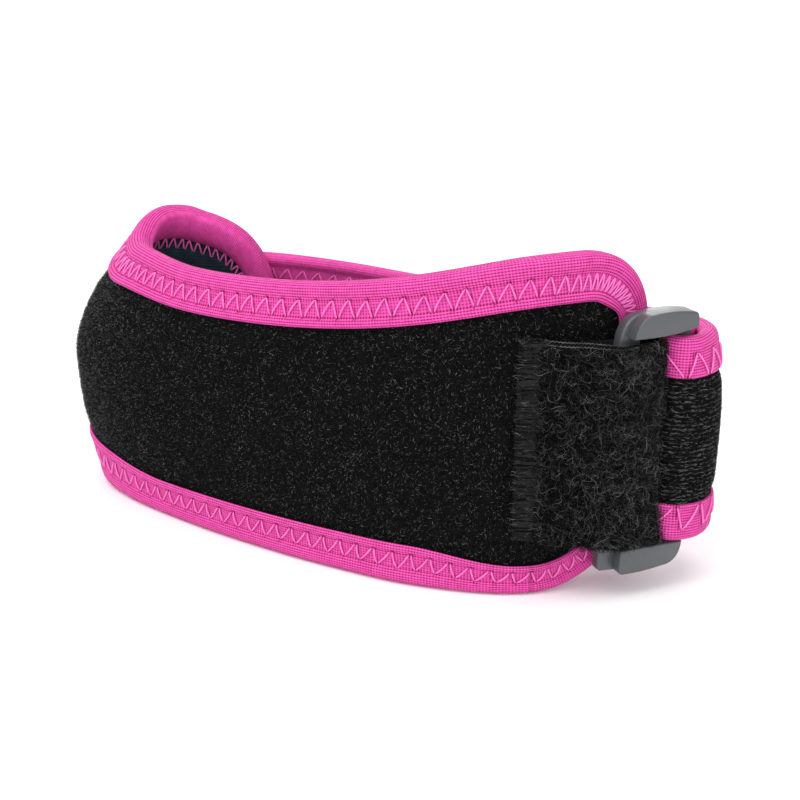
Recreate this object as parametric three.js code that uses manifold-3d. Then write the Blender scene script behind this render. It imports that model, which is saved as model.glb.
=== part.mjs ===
// Patellar strap: a padded knee band, closed into a loop by a tape tab through a plastic ring.
// Millimetres. +Z is up, the padded front faces -Y, and the band stands on its lower edge at z = 0.
import * as THREE from 'three';
import { mergeVertices } from 'three/addons/utils/BufferGeometryUtils.js';
import Module from 'manifold-3d';

// Clearance between neighbouring pieces.
const GAP = 0.3;

// Padded panel: foam with a pile face outside and a lining inside.
const PANEL_THICK = 4.6;
const PANEL_EDGE_THICK = 3.0;
const PANEL_RIGHT_CORNER = 15;
const PANEL_FOOT_CORNER = 26;
const PANEL_LEFT_CORNER = 20;
const PANEL_MIDDLE = 38;

// Panel seen from above, from its right end along the front and round the left turn to its left end:
// the line of its middle layer half way up, the height of its top edge and the line of that edge,
// and how far its lower edge leans in to the leg.
const PANEL_SECTIONS = [
  { at: 'right end', x: 70.3, y: 0.3, top: 78, topX: 69.9, topY: 0.6, leanFoot: 0.5 },
  { at: 'behind the ring', x: 62, y: -10.7, top: 78, topX: 61.6, topY: -10.4, leanFoot: 0.5 },
  { at: 'under the tab', x: 49.5, y: -21.2, top: 77, topX: 49.3, topY: -20.7, leanFoot: 0.5 },
  { at: 'right of the dip', x: 28.5, y: -27.4, top: 72.5, topX: 28.4, topY: -25.8, leanFoot: 0.5 },
  { at: 'kneecap dip', x: 8.5, y: -28.2, top: 69, topX: 8.6, topY: -25, leanFoot: 0.5 },
  { at: 'left of the dip', x: -13.5, y: -27.5, top: 67.1, topX: -13.1, topY: -23.1, leanFoot: 1 },
  { at: 'front left', x: -37.5, y: -25, top: 66.7, topX: -36.1, topY: -19, leanFoot: 1.7 },
  { at: 'start of the left turn', x: -61.4, y: -20.9, top: 68.4, topX: -53, topY: -13, leanFoot: 3 },
  { at: 'left turn, front', x: -75.2, y: -16.4, top: 68.9, topX: -58.4, topY: -8.9, leanFoot: 3.5 },
  { at: 'left turn, front side', x: -82.7, y: -9.6, top: 70.8, topX: -61.2, topY: -4.7, leanFoot: 3.8 },
  { at: 'left turn', x: -85.23, y: -0.2, top: 73.8, topX: -62, topY: -0.1, leanFoot: 4 },
  { at: 'left turn, back side', x: -82.9, y: 8.9, top: 75.6, topX: -60.9, topY: 4.5, leanFoot: 3.9 },
  { at: 'left turn, back', x: -75.4, y: 15.7, top: 75.3, topX: -57.9, topY: 8.5, leanFoot: 3.4 },
  { at: 'back left', x: -61.5, y: 20.8, top: 72.8, topX: -52.4, topY: 11.6, leanFoot: 3 },
  { at: 'left end', x: -39.5, y: 23.1, top: 66.8, topX: -38.5, topY: 17, leanFoot: 2.5 },
];
const PANEL_TURN_START = 130;
const PANEL_ROWS = 4;

// Narrow strap at the back, sewn on the outside of the panel's left end.
const STRAP_THICK = 3.0;
const STRAP_EDGE_THICK = 1.8;
const STRAP_LOW = 11.5;
const STRAP_HIGH = 60;
const STRAP_ROWS = 2;

// Strap seen from above, from its sewn end along the back and round the right turn to the ring.
const STRAP_SECTIONS = [
  { at: 'sewn end', x: -61.5, y: 26.05, leanTop: 4, leanFoot: 1 },
  { at: 'over the panel end', x: -37.5, y: 28.85, leanTop: 3.5, leanFoot: 1 },
  { at: 'back left', x: -17.5, y: 27.8, leanTop: 2, leanFoot: 1 },
  { at: 'back middle', x: 11.5, y: 23.3, leanTop: 1, leanFoot: 1 },
  { at: 'back right', x: 40.5, y: 20.5, leanTop: 1.5, leanFoot: 1.5 },
  { at: 'start of the right turn', x: 61.5, y: 19.8, leanTop: 2, leanFoot: 2 },
  { at: 'right turn, back', x: 74, y: 17.8, leanTop: 1.5, leanFoot: 1.5 },
  { at: 'right turn', x: 81.8, y: 13.6, leanTop: 1.2, leanFoot: 1.2 },
  { at: 'right turn, front', x: 85.3, y: 7.4, leanTop: 1, leanFoot: 1 },
];
const STRAP_RETURN = [15, 19, 23];
const STRAP_FOLD_LEAN = 0.7;
const STRAP_TURN_LENGTH = 72;
const STRAP_FOLD_LENGTH = 38;
const FOLD_SLACK = 0.15;

// Knitted binding, folded over the edges of the panel and of the strap.
const BINDING_WALL = 0.8;
const PANEL_COVER_OUTSIDE = 10;
const PANEL_COVER_INSIDE = 8;
const STRAP_COVER_OUTSIDE = 9;
const STRAP_COVER_INSIDE = 7;

// Padding: clear of the binding's lip, then swelling to its full thickness.
const PAD_CLEAR = 0.6;
const PAD_SWELL = 2;

// Moulded ring: a flat plate with one slot, and two end blocks that stand forward of its bars.
const RING_LENGTH = 19.5;
const RING_HEIGHT = 61;
const RING_MIDDLE = 35.7;
const RING_PLATE = 2.8;
const RING_ARCH = 1.4;
const RING_CORNER = 3;
const RING_SOFT = 0.5;
const SLOT_HEIGHT = 50;
const LEFT_BAR = 5.5;
const RIGHT_BAR = 3.2;
const BLOCK_FORWARD = 2.8;
const BLOCK_SETBACK = 3.2;
const BLOCK_ROUND = 4.2;
const BLOCK_DRAFT = 0.6;
const BLOCK_INSET = 0.2;
const RING_PAST_PANEL = -2.3;
const RING_STAND_OFF = 7.2;

// Tape tab: sewn on the panel's right end, through the ring and back over its left bar.
const TAB_THICK = 2.4;
const TAB_HEIGHT = 48;
const TAB_LOW = 11.6;
const TAB_ROOT = 22;
const TAB_SLACK = 1.9;
const TAB_REACH = 30.8;
const TAB_SEAM = 4;
const TAB_END = 3;
const TAB_LIFT = 0.6;
const TAB_BEFORE_ROOT = 4;
const TAB_SOFT = 0.5;

// Shape of the lean, spacing of the stations along each piece, and fineness of the curves.
const LEAN_POWER = 2.2;
const TOP_POWER = 2;
const STATION_STEP = 6;
const BACK_STEP = 9;
const TURN_STEP = 2.8;
const FOLD_STEP = 2.4;
const TAB_STEP = 1.6;
const CORNER_STEPS = 5;
const FOOT_CORNER_STEPS = 8;
const PLAN_DIVISIONS = 800;

const wasm = await Module();
wasm.setup();

// A smooth line through a table's x and y, with the table's other columns carried along it.
function planLine(rows, columns) {
  const places = rows.map((row) => new THREE.Vector3(row.x, row.y, 0));
  const line = new THREE.CatmullRomCurve3(places, false, 'centripetal');
  line.arcLengthDivisions = PLAN_DIVISIONS;
  const length = line.getLength();
  const carried = columns.map((name) => {
    const levels = rows.map((row) => new THREE.Vector3(row[name], 0, 0));
    return [name, new THREE.CatmullRomCurve3(levels, false, 'catmullrom')];
  });
  const at = (s) => {
    const t = line.getUtoTmapping(THREE.MathUtils.clamp(s / length, 0, 1));
    const along = line.getTangent(t);
    const place = { point: line.getPoint(t), along, outward: new THREE.Vector3(-along.y, along.x, 0) };
    for (const [name, curve] of carried) {
      place[name] = curve.getPoint(t).x;
    }
    return place;
  };
  return { length, at };
}

// A point of a standing wall: s along its plan, z up, and out from its middle layer. Above its middle
// the panel goes over to the line of its top edge, and all else leans in to the leg.
function wallPoint(wall, s, z, out) {
  const place = wall.plan.at(s);
  const point = place.point.clone().addScaledVector(place.outward, out).setZ(z);
  if (place.top && z > wall.middle) {
    const share = ((z - wall.middle) / (place.top - wall.middle)) ** TOP_POWER;
    point.x += (place.topX - place.point.x) * share;
    point.y += (place.topY - place.point.y) * share;
    return point;
  }
  const reach = (z - wall.middle) / wall.halfHeight;
  const lean = (reach > 0 ? place.leanTop : place.leanFoot) * Math.abs(reach) ** LEAN_POWER;
  return point.addScaledVector(place.outward, -lean);
}

// Even stations from one place of a wall to another.
function stations(from, to, step) {
  const count = Math.max(1, Math.round(Math.abs(to - from) / step));
  return Array.from({ length: count + 1 }, (_, i) => from + ((to - from) * i) / count);
}

// Triangles that close a section between its outer side and its inner side.
function capFaces(count, outerCount) {
  const outer = Array.from({ length: outerCount }, (_, i) => i);
  const inner = Array.from({ length: count - outerCount }, (_, i) => count - 1 - i);
  const faces = [];
  let i = 0;
  let j = 0;
  while (i < outer.length - 1 || j < inner.length - 1) {
    const outerNext = (i + 1) * (inner.length - 1);
    const innerNext = (j + 1) * (outer.length - 1);
    if (outerNext <= innerNext) {
      faces.push([outer[i], outer[i + 1], inner[j]]);
      i += 1;
    } else {
      faces.push([outer[i], inner[j + 1], inner[j]]);
      j += 1;
    }
  }
  return faces;
}

// One closed solid over equal rings of points: a closed loop, or capped at both ends
// where the number of points on the outer side of its rings is given.
function solidOver(rings, outerCount) {
  const count = rings[0].length;
  const faces = [];
  const spans = outerCount ? rings.length - 1 : rings.length;
  for (let i = 0; i < spans; i += 1) {
    const here = i * count;
    const next = ((i + 1) % rings.length) * count;
    for (let j = 0; j < count; j += 1) {
      const k = (j + 1) % count;
      faces.push(here + j, here + k, next + k, here + j, next + k, next + j);
    }
  }
  if (outerCount) {
    const last = (rings.length - 1) * count;
    for (const [a, b, c] of capFaces(count, outerCount)) {
      faces.push(c, b, a, last + a, last + b, last + c);
    }
  }
  const points = rings.flat();
  let volume = 0;
  for (let i = 0; i < faces.length; i += 3) {
    const [a, b, c] = [points[faces[i]], points[faces[i + 1]], points[faces[i + 2]]];
    volume += a.dot(new THREE.Vector3().crossVectors(b, c));
  }
  const geometry = new THREE.BufferGeometry().setFromPoints(points);
  geometry.setIndex(volume > 0 ? faces : faces.reverse());
  geometry.computeVertexNormals();
  return geometry;
}

// Section of a binding: over the folded edge from its outside lip to its inside lip, and back within.
function bindingSection(edgeThick, coverOutside, coverInside) {
  const within = edgeThick / 2 + GAP;
  const outer = within + BINDING_WALL;
  const outside = (side, cover) => [
    { inward: cover, out: side * outer },
    { inward: cover / 2, out: side * outer },
    { inward: BINDING_WALL, out: side * outer },
    { inward: 0, out: side * (outer - BINDING_WALL) },
  ];
  const lining = (side, cover) => [
    { inward: BINDING_WALL, out: side * within },
    { inward: cover / 2, out: side * within },
    { inward: cover, out: side * within },
  ];
  return [
    ...outside(1, coverOutside),
    ...outside(-1, coverInside).reverse(),
    ...lining(-1, coverInside).reverse(),
    ...lining(1, coverOutside),
  ];
}
const BINDING_OUTER_POINTS = 8;

// Section of a padded wall: squeezed edges that the binding covers, and a full middle in even steps.
// Where an edge slopes, the binding covers more of the wall's height by the factor given for that edge.
function paddedSection(low, high, edgeThick, thick, cover, steps, [lowSlant, highSlant] = [1, 1]) {
  const squeezed = cover + PAD_CLEAR;
  const full = squeezed + PAD_SWELL;
  const edge = [0, cover / 2, squeezed].map((inward) => ({ inward, out: edgeThick / 2 }));
  const [bottom, top] = [low + full * lowSlant, high - full * highSlant];
  const middle = stations(bottom, top, (top - bottom) / steps).map((z) => ({ z, out: thick / 2 }));
  const side = [
    ...edge.map(({ inward, out }) => ({ z: low + inward * lowSlant, out })),
    ...middle,
    ...edge.map(({ inward, out }) => ({ z: high - inward * highSlant, out })).reverse(),
  ];
  return [...side, ...side.map(({ z, out }) => ({ z, out: -out })).reverse()];
}

const PANEL_PLAN = planLine(PANEL_SECTIONS, ['top', 'topX', 'topY', 'leanFoot']);
const PANEL_WALL = { plan: PANEL_PLAN, middle: PANEL_MIDDLE, halfHeight: PANEL_MIDDLE };
const PANEL_LENGTH = PANEL_PLAN.length;
const PANEL_STATIONS = [
  ...stations(PANEL_RIGHT_CORNER, PANEL_TURN_START, STATION_STEP),
  ...stations(PANEL_TURN_START, PANEL_LENGTH - PANEL_LEFT_CORNER, TURN_STEP).slice(1),
];

// The panel inside its binding: rounded ends, and thin wherever the binding squeezes it.
function panelGeometry() {
  const inset = BINDING_WALL + GAP;
  const squeezed = inset + PANEL_COVER_OUTSIDE + PAD_CLEAR;
  const fromEnd = (corner) => {
    const radius = corner - inset;
    const turns = stations(0, Math.PI / 2, Math.PI / 2 / CORNER_STEPS);
    const places = turns.map((turn) => inset + radius * (1 - Math.cos(turn)));
    const clear = places.filter((s) => Math.abs(s - squeezed) > PAD_CLEAR && s < corner - PAD_CLEAR);
    return [...clear, squeezed, squeezed + PAD_SWELL].sort((a, b) => a - b);
  };
  const left = fromEnd(PANEL_LEFT_CORNER).map((s) => PANEL_LENGTH - s).reverse();
  const rings = [...fromEnd(PANEL_RIGHT_CORNER), ...PANEL_STATIONS, ...left].map((s) => {
    const [corner, footCorner] = s < PANEL_LENGTH / 2
      ? [PANEL_RIGHT_CORNER, PANEL_FOOT_CORNER]
      : [PANEL_LEFT_CORNER, PANEL_LEFT_CORNER];
    const toEnd = Math.max(0, Math.min(s, PANEL_LENGTH - s) - inset);
    const rise = (radius) => (toEnd < radius ? radius - Math.sqrt(radius ** 2 - (radius - toEnd) ** 2) : 0);
    const [footRise, headRise] = [rise(footCorner - inset), rise(corner - inset)];
    const footSlope = Math.max(0, footCorner - inset - toEnd) / (footCorner - inset - footRise);
    const headSlope = PANEL_PLAN.at(s + 1).top / 2 - PANEL_PLAN.at(s - 1).top / 2;
    const padded = toEnd > squeezed - inset;
    const slants = padded ? [1 + footSlope / 2, 1 + Math.abs(headSlope) / 2] : [1, 1];
    const thick = padded ? PANEL_THICK : PANEL_EDGE_THICK;
    const high = PANEL_PLAN.at(s).top - inset * slants[1] - headRise;
    return paddedSection(inset + footRise, high, PANEL_EDGE_THICK, thick, PANEL_COVER_OUTSIDE, PANEL_ROWS, slants)
      .map(({ z, out }) => wallPoint(PANEL_WALL, s, z, out));
  });
  return solidOver(rings, rings[0].length / 2);
}

// The panel's outer edge, laid flat: s along, v up, and the way in from the edge.
function panelOutline() {
  const topAt = (s) => PANEL_PLAN.at(s).top;
  const quarter = (radius, s, v, start, steps = CORNER_STEPS) => (
    stations(start, start + Math.PI / 2, Math.PI / 2 / steps).map((turn) => ({
      s: s + radius * Math.cos(turn),
      v: v + radius * Math.sin(turn),
      inS: -Math.cos(turn),
      inV: -Math.sin(turn),
    })));
  const [right, rightFoot, left] = [PANEL_RIGHT_CORNER, PANEL_FOOT_CORNER, PANEL_LEFT_CORNER];
  const leftCentre = PANEL_LENGTH - left;
  const inner = PANEL_STATIONS.slice(1, -1);
  const foot = inner.filter((s) => s > rightFoot + 1).map((s) => ({ s, v: 0, inS: 0, inV: 1 }));
  const head = inner.map((s) => {
    const slope = (topAt(s + 1) - topAt(s - 1)) / 2;
    const size = Math.hypot(slope, 1);
    return { s, v: topAt(s), inS: slope / size, inV: -1 / size };
  });
  const side = (s, from, to, inS) => stations(from, to, STATION_STEP)
    .slice(1, -1)
    .map((v) => ({ s, v, inS, inV: 0 }));
  const leftTop = topAt(leftCentre) - left;
  const rightTop = topAt(right) - right;
  return [
    ...foot,
    ...quarter(left, leftCentre, left, -Math.PI / 2),
    ...side(PANEL_LENGTH, left, leftTop, -1),
    ...quarter(left, leftCentre, leftTop, 0),
    ...head.reverse(),
    ...quarter(right, right, rightTop, Math.PI / 2),
    ...side(0, rightTop, rightFoot, 1),
    ...quarter(rightFoot, rightFoot, rightFoot, Math.PI, FOOT_CORNER_STEPS),
  ];
}

// The panel's binding, folded over its whole outline.
function panelBindingGeometry() {
  const section = bindingSection(PANEL_EDGE_THICK, PANEL_COVER_OUTSIDE, PANEL_COVER_INSIDE);
  return solidOver(panelOutline().map(({ s, v, inS, inV }) => section.map(
    ({ inward, out }) => wallPoint(PANEL_WALL, s + inS * inward, v + inV * inward, out),
  )));
}

// The ring stands off the panel's right end, in line with the panel there.
const PANEL_END = PANEL_PLAN.at(0);
const RING_ALONG = PANEL_END.along.clone().negate();
const RING_CENTRE = PANEL_END.point.clone()
  .addScaledVector(RING_ALONG, RING_PAST_PANEL)
  .addScaledVector(PANEL_END.outward, RING_STAND_OFF);
const RIGHT_BAR_MIDDLE = RING_LENGTH / 2 - RIGHT_BAR / 2;
const LEFT_BAR_EDGE = -RING_LENGTH / 2 + LEFT_BAR;

// A place seen from above in the ring's own directions: along the strap, and out from the leg.
function byRing(along, out) {
  return RING_CENTRE.clone().addScaledVector(RING_ALONG, along).addScaledVector(PANEL_END.outward, out);
}

// The strap's plan goes over the ring's right bar, round it through the slot, and back to lie
// against its own inner face, where it is sewn down.
function strapPlan() {
  const columns = ['leanTop', 'leanFoot'];
  const halfBound = STRAP_EDGE_THICK / 2 + GAP + BINDING_WALL;
  const bend = Math.hypot(RIGHT_BAR / 2, RING_PLATE / 2 - RING_SOFT) + GAP + FOLD_SLACK + halfBound;
  const row = (point, lean) => ({ x: point.x, y: point.y, leanTop: lean, leanFoot: lean });
  const outerRows = [
    ...STRAP_SECTIONS,
    row(byRing(RIGHT_BAR_MIDDLE + bend, bend), STRAP_FOLD_LEAN),
    row(byRing(RIGHT_BAR_MIDDLE, bend), 0),
  ];
  const outer = planLine(outerRows, columns);
  const round = stations(0, Math.PI, Math.PI / 5).slice(1).map(
    (turn) => row(byRing(RIGHT_BAR_MIDDLE - bend * Math.sin(turn), bend * Math.cos(turn)), 0),
  );
  const back = STRAP_RETURN.map((along) => {
    const place = outer.at(outer.length - along);
    return row(place.point.addScaledVector(place.outward, -2 * halfBound - GAP), -place.leanTop);
  });
  return planLine([...outerRows, ...round, ...back], columns);
}

const STRAP_PLAN = strapPlan();
const STRAP_WALL = {
  plan: STRAP_PLAN,
  middle: (STRAP_LOW + STRAP_HIGH) / 2,
  halfHeight: (STRAP_HIGH - STRAP_LOW) / 2,
};
const STRAP_TURN_AT = STRAP_PLAN.length - STRAP_TURN_LENGTH;
const STRAP_FOLD_AT = STRAP_PLAN.length - STRAP_FOLD_LENGTH;
const STRAP_STATIONS = [
  ...stations(0, STRAP_TURN_AT, BACK_STEP),
  ...stations(STRAP_TURN_AT, STRAP_FOLD_AT, TURN_STEP).slice(1),
  ...stations(STRAP_FOLD_AT, STRAP_PLAN.length, FOLD_STEP).slice(1),
];

// The padded strap inside its two bindings.
function strapGeometry() {
  const inset = BINDING_WALL + GAP;
  const section = paddedSection(
    STRAP_LOW + inset, STRAP_HIGH - inset, STRAP_EDGE_THICK, STRAP_THICK, STRAP_COVER_OUTSIDE, STRAP_ROWS,
  );
  const rings = STRAP_STATIONS.map((s) => section.map(({ z, out }) => wallPoint(STRAP_WALL, s, z, out)));
  return solidOver(rings, section.length / 2);
}

// A binding along one long edge of the strap.
function strapBindingGeometry(edge, upward) {
  const section = bindingSection(STRAP_EDGE_THICK, STRAP_COVER_OUTSIDE, STRAP_COVER_INSIDE)
    .map(({ inward, out }) => ({ z: edge - upward * inward, out }));
  const rings = STRAP_STATIONS.map((s) => section.map(({ z, out }) => wallPoint(STRAP_WALL, s, z, out)));
  return solidOver(rings, BINDING_OUTER_POINTS);
}

// The tab's plan: from its sewn root under the left bar, up through the slot and back over the panel.
function tabPlan() {
  const half = TAB_THICK / 2;
  const onPanel = PANEL_THICK / 2 + GAP + half;
  const overRoot = onPanel + TAB_THICK + GAP;
  const bend = RING_PLATE / 2 + GAP + half;
  const barLeft = -RING_LENGTH / 2;
  const foldMiddle = LEFT_BAR_EDGE + TAB_SLACK;
  const beside = (s, out) => {
    const place = PANEL_PLAN.at(s);
    return place.point.clone().addScaledVector(place.outward, out);
  };
  const round = stations(0, Math.PI, Math.PI / 4)
    .map((turn) => byRing(foldMiddle + bend * Math.sin(turn), -bend * Math.cos(turn)));
  return planLine([
    beside(TAB_ROOT, onPanel),
    beside(TAB_ROOT - TAB_SEAM, onPanel),
    byRing(barLeft, -bend),
    ...round,
    byRing(barLeft, bend),
    beside(TAB_ROOT - TAB_BEFORE_ROOT, overRoot + TAB_LIFT),
    beside(TAB_ROOT, overRoot),
    beside(TAB_REACH - TAB_END, onPanel + GAP / 2),
    beside(TAB_REACH, onPanel),
  ], []);
}

// The tape tab, a flat band with its long edges softened.
function tabGeometry() {
  const plan = tabPlan();
  const half = TAB_THICK / 2;
  const side = [
    { up: 0, out: half - TAB_SOFT },
    { up: TAB_SOFT, out: half },
    { up: TAB_HEIGHT - TAB_SOFT, out: half },
    { up: TAB_HEIGHT, out: half - TAB_SOFT },
  ];
  const section = [...side, ...side.map(({ up, out }) => ({ up, out: -out })).reverse()];
  const rings = stations(0, plan.length, TAB_STEP).map((s) => {
    const place = plan.at(s);
    return section.map(
      ({ up, out }) => place.point.clone().addScaledVector(place.outward, out).setZ(TAB_LOW + up),
    );
  });
  return solidOver(rings, side.length);
}

// Turns a closed geometry into a solid for joining.
function asManifold(geometry) {
  const bare = geometry.clone();
  bare.deleteAttribute('normal');
  bare.deleteAttribute('uv');
  const merged = mergeVertices(bare);
  const vertProperties = new Float32Array(merged.attributes.position.array);
  const triVerts = new Uint32Array(merged.index.array);
  return new wasm.Manifold(new wasm.Mesh({ numProp: 3, vertProperties, triVerts }));
}

// Turns a joined solid back into a geometry.
function asGeometry(solid) {
  const mesh = solid.getMesh();
  const geometry = new THREE.BufferGeometry();
  geometry.setAttribute('position', new THREE.BufferAttribute(new Float32Array(mesh.vertProperties), 3));
  geometry.setIndex(Array.from(mesh.triVerts));
  geometry.computeVertexNormals();
  return geometry;
}

// A flat shape across the ring, given its thickness outwards from a start.
function acrossRing(shape, start, depth) {
  const geometry = new THREE.ExtrudeGeometry(shape, {
    depth: depth - 2 * RING_SOFT,
    bevelEnabled: true,
    bevelThickness: RING_SOFT,
    bevelSize: RING_SOFT,
    bevelOffset: -RING_SOFT,
    bevelSegments: 2,
    curveSegments: 5,
  });
  geometry.translate(0, 0, start + RING_SOFT);
  geometry.rotateX(Math.PI / 2);
  return geometry;
}

// The ring's plate: arched ends, rounded corners and the slot.
function ringPlateShape() {
  const right = RING_LENGTH / 2;
  const shoulder = RING_HEIGHT / 2 - RING_ARCH;
  const crest = RING_HEIGHT / 2 + RING_ARCH;
  const plate = new THREE.Shape();
  plate.moveTo(right, -shoulder + RING_CORNER);
  plate.lineTo(right, shoulder - RING_CORNER);
  plate.quadraticCurveTo(right, shoulder, right - RING_CORNER, shoulder + RING_ARCH / 2);
  plate.quadraticCurveTo(0, crest, -right + RING_CORNER, shoulder + RING_ARCH / 2);
  plate.quadraticCurveTo(-right, shoulder, -right, shoulder - RING_CORNER);
  plate.lineTo(-right, -shoulder + RING_CORNER);
  plate.quadraticCurveTo(-right, -shoulder, -right + RING_CORNER, -shoulder - RING_ARCH / 2);
  plate.quadraticCurveTo(0, -crest, right - RING_CORNER, -shoulder - RING_ARCH / 2);
  plate.quadraticCurveTo(right, -shoulder, right, -shoulder + RING_CORNER);
  const slot = new THREE.Path();
  const slotRight = right - RIGHT_BAR;
  slot.moveTo(LEFT_BAR_EDGE, -SLOT_HEIGHT / 2);
  slot.lineTo(LEFT_BAR_EDGE, SLOT_HEIGHT / 2);
  slot.lineTo(slotRight, SLOT_HEIGHT / 2);
  slot.lineTo(slotRight, -SLOT_HEIGHT / 2);
  slot.lineTo(LEFT_BAR_EDGE, -SLOT_HEIGHT / 2);
  plate.holes.push(slot);
  return plate;
}

// The face of one end block: square to the slot, with a wide round over the left bar.
function ringBlockShape(side) {
  const left = -RING_LENGTH / 2 + BLOCK_SETBACK;
  const right = RING_LENGTH / 2 - BLOCK_INSET;
  const low = SLOT_HEIGHT / 2;
  const shoulder = RING_HEIGHT / 2 - RING_ARCH;
  const crest = RING_HEIGHT / 2 + RING_ARCH;
  const block = new THREE.Shape();
  block.moveTo(left, side * low);
  block.lineTo(right, side * low);
  block.lineTo(right, side * (shoulder - RING_CORNER / 2));
  block.quadraticCurveTo(right, side * shoulder, right - RING_CORNER, side * (shoulder + RING_ARCH / 2));
  block.quadraticCurveTo(0, side * crest, left + BLOCK_ROUND, side * (shoulder + RING_ARCH / 2));
  block.quadraticCurveTo(left + BLOCK_DRAFT, side * (shoulder + RING_ARCH / 2), left, side * low);
  return block;
}

// The ring, moulded in one piece.
function ringGeometry() {
  const plate = asManifold(acrossRing(ringPlateShape(), -RING_PLATE / 2, RING_PLATE));
  const blocks = [-1, 1].map((side) => asManifold(
    acrossRing(ringBlockShape(side), 0, RING_PLATE / 2 + BLOCK_FORWARD),
  ));
  return asGeometry(blocks.reduce((whole, block) => whole.add(block), plate));
}

// Finishes.
const pile = new THREE.MeshStandardMaterial({ color: 0x1a1a1b, roughness: 0.95, metalness: 0 });
const knit = new THREE.MeshStandardMaterial({ color: 0xe8409f, roughness: 0.75, metalness: 0 });
const tape = new THREE.MeshStandardMaterial({ color: 0x1b1b1b, roughness: 1, metalness: 0 });
const plastic = new THREE.MeshStandardMaterial({ color: 0x6d7376, roughness: 0.45, metalness: 0 });

function piece(name, geometry, material) {
  const mesh = new THREE.Mesh(geometry, material);
  mesh.name = name;
  return mesh;
}

const ring = piece('ring_buckle', ringGeometry(), plastic);
ring.position.copy(RING_CENTRE).setZ(RING_MIDDLE);
ring.rotation.z = Math.atan2(RING_ALONG.y, RING_ALONG.x);

const strap = new THREE.Group();
strap.add(
  piece('front_panel', panelGeometry(), pile),
  piece('panel_binding', panelBindingGeometry(), knit),
  piece('back_strap', strapGeometry(), pile),
  piece('strap_binding_top', strapBindingGeometry(STRAP_HIGH, 1), knit),
  piece('strap_binding_bottom', strapBindingGeometry(STRAP_LOW, -1), knit),
  ring,
  piece('hook_tab', tabGeometry(), tape),
);

export default strap;
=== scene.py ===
import math

import bpy
import numpy as np
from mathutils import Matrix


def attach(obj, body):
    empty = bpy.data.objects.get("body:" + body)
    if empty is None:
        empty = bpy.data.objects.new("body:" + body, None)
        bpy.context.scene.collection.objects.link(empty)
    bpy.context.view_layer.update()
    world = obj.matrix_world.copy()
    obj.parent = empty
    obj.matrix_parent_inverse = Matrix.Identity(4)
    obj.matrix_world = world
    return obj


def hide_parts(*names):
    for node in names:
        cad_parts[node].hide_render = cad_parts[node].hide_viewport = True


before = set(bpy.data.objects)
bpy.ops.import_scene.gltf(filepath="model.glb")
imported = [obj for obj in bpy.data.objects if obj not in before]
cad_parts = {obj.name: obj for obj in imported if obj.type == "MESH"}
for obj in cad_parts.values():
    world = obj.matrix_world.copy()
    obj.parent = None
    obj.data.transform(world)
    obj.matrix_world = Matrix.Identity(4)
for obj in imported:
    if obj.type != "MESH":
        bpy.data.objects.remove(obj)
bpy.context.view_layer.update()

# Front panel: the wide padded band over the front of the knee, which goes on round the left side.
# Foam laminate with black loop pile outside and a dark knitted lining inside, cut with rounded ends
# and squeezed thin under its binding. Sizes are in millimetres, with s along the panel and z up it.
MM = 0.001
PANEL_COLUMNS = ("x", "y", "top", "top_x", "top_y", "lean_foot")
PANEL_ROWS = [
    (70.3, 0.3, 78, 69.9, 0.6, 0.5),
    (62, -10.7, 78, 61.6, -10.4, 0.5),
    (49.5, -21.2, 77, 49.3, -20.7, 0.5),
    (28.5, -27.4, 72.5, 28.4, -25.8, 0.5),
    (8.5, -28.2, 69, 8.6, -25, 0.5),
    (-13.5, -27.5, 67.1, -13.1, -23.1, 1),
    (-37.5, -25, 66.7, -36.1, -19, 1.7),
    (-61.4, -20.9, 68.4, -53, -13, 3),
    (-74.9, -16.3, 68.9, -58.4, -8.9, 4.6),
    (-81.8, -9.5, 70.8, -61.2, -4.7, 5.6),
    (-84.2, -0.2, 73.8, -62, -0.1, 6),
    (-82, 8.9, 75.6, -60.9, 4.5, 5.6),
    (-75.1, 15.6, 75.3, -57.9, 8.5, 4.2),
    (-61.5, 20.8, 72.8, -52.4, 11.6, 3),
    (-39.5, 23.1, 66.8, -38.5, 17, 2.5),
]
PLAN_STEPS = 80
LEAN_POWER = 2.2
TOP_POWER = 1.6
PANEL_MIDDLE = 38
PANEL_RIGHT_CORNER = 15
PANEL_FOOT_CORNER = 26
PANEL_LEFT_CORNER = 20
CORNER_STEPS = 24
PANEL_STEP = 1.5
PANEL_LAYERS = 46
PANEL_HALF_EDGE = 1.5
PANEL_SWELL = 0.85
PANEL_INSET = 1.1
PANEL_COVER_OUTSIDE = 10
PANEL_COVER_INSIDE = 8
CROWN_OUTSIDE = (0, 6)
CROWN_INSIDE = (-0.5, 3)
# The binding's width changes by these shares, over these stretches along the panel and up it.
FOOT_NARROWER = 0.3
END_NARROWER = 0.21
TURN_WIDER = 0.65
LOW_UP = (20, 46)
FOOT_ALONG = (28, 54)
END_ALONG = (10, 22)
END_UP = (62, 76)
TURN_COMES = (125, 175)
TURN_GOES = (188, 208)
# The pile: a few long loops over a short nap, whose pale fibres are painted glints. More of them are pale
# round the left turn, as painted light falling there.
FIBRE_ROLL = 0.9
FIBRE_SUNK = 0.08
FIBRE_TAPER = 0.55
PILE_START = 6
PILE_UP = (6, 70)
PILE_CLEAR = 0.2
PILE_CURL = 0.2
LIT_PALER = 0.8
LIT_PALER_ALONG = (110, 160)
# Columns: name, seed, count, length, lift, width, segments, pale.
PANEL_PILES = [
    ("panel_pile", 11, 28000, (0.5, 1.15), (0.25, 0.5), (0.08, 0.14), 2, 6.6),
    ("panel_nap", 12, 47000, (0.25, 0.65), (0.3, 0.65), (0.09, 0.16), 1, 5.3),
]


def unit(vectors):
    return vectors / np.linalg.norm(vectors, axis=-1, keepdims=True)


def gone_along(points):
    """How far along a line of points each one is."""
    return np.concatenate([[0], np.cumsum(np.linalg.norm(np.diff(points, axis=0), axis=1))])


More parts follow.
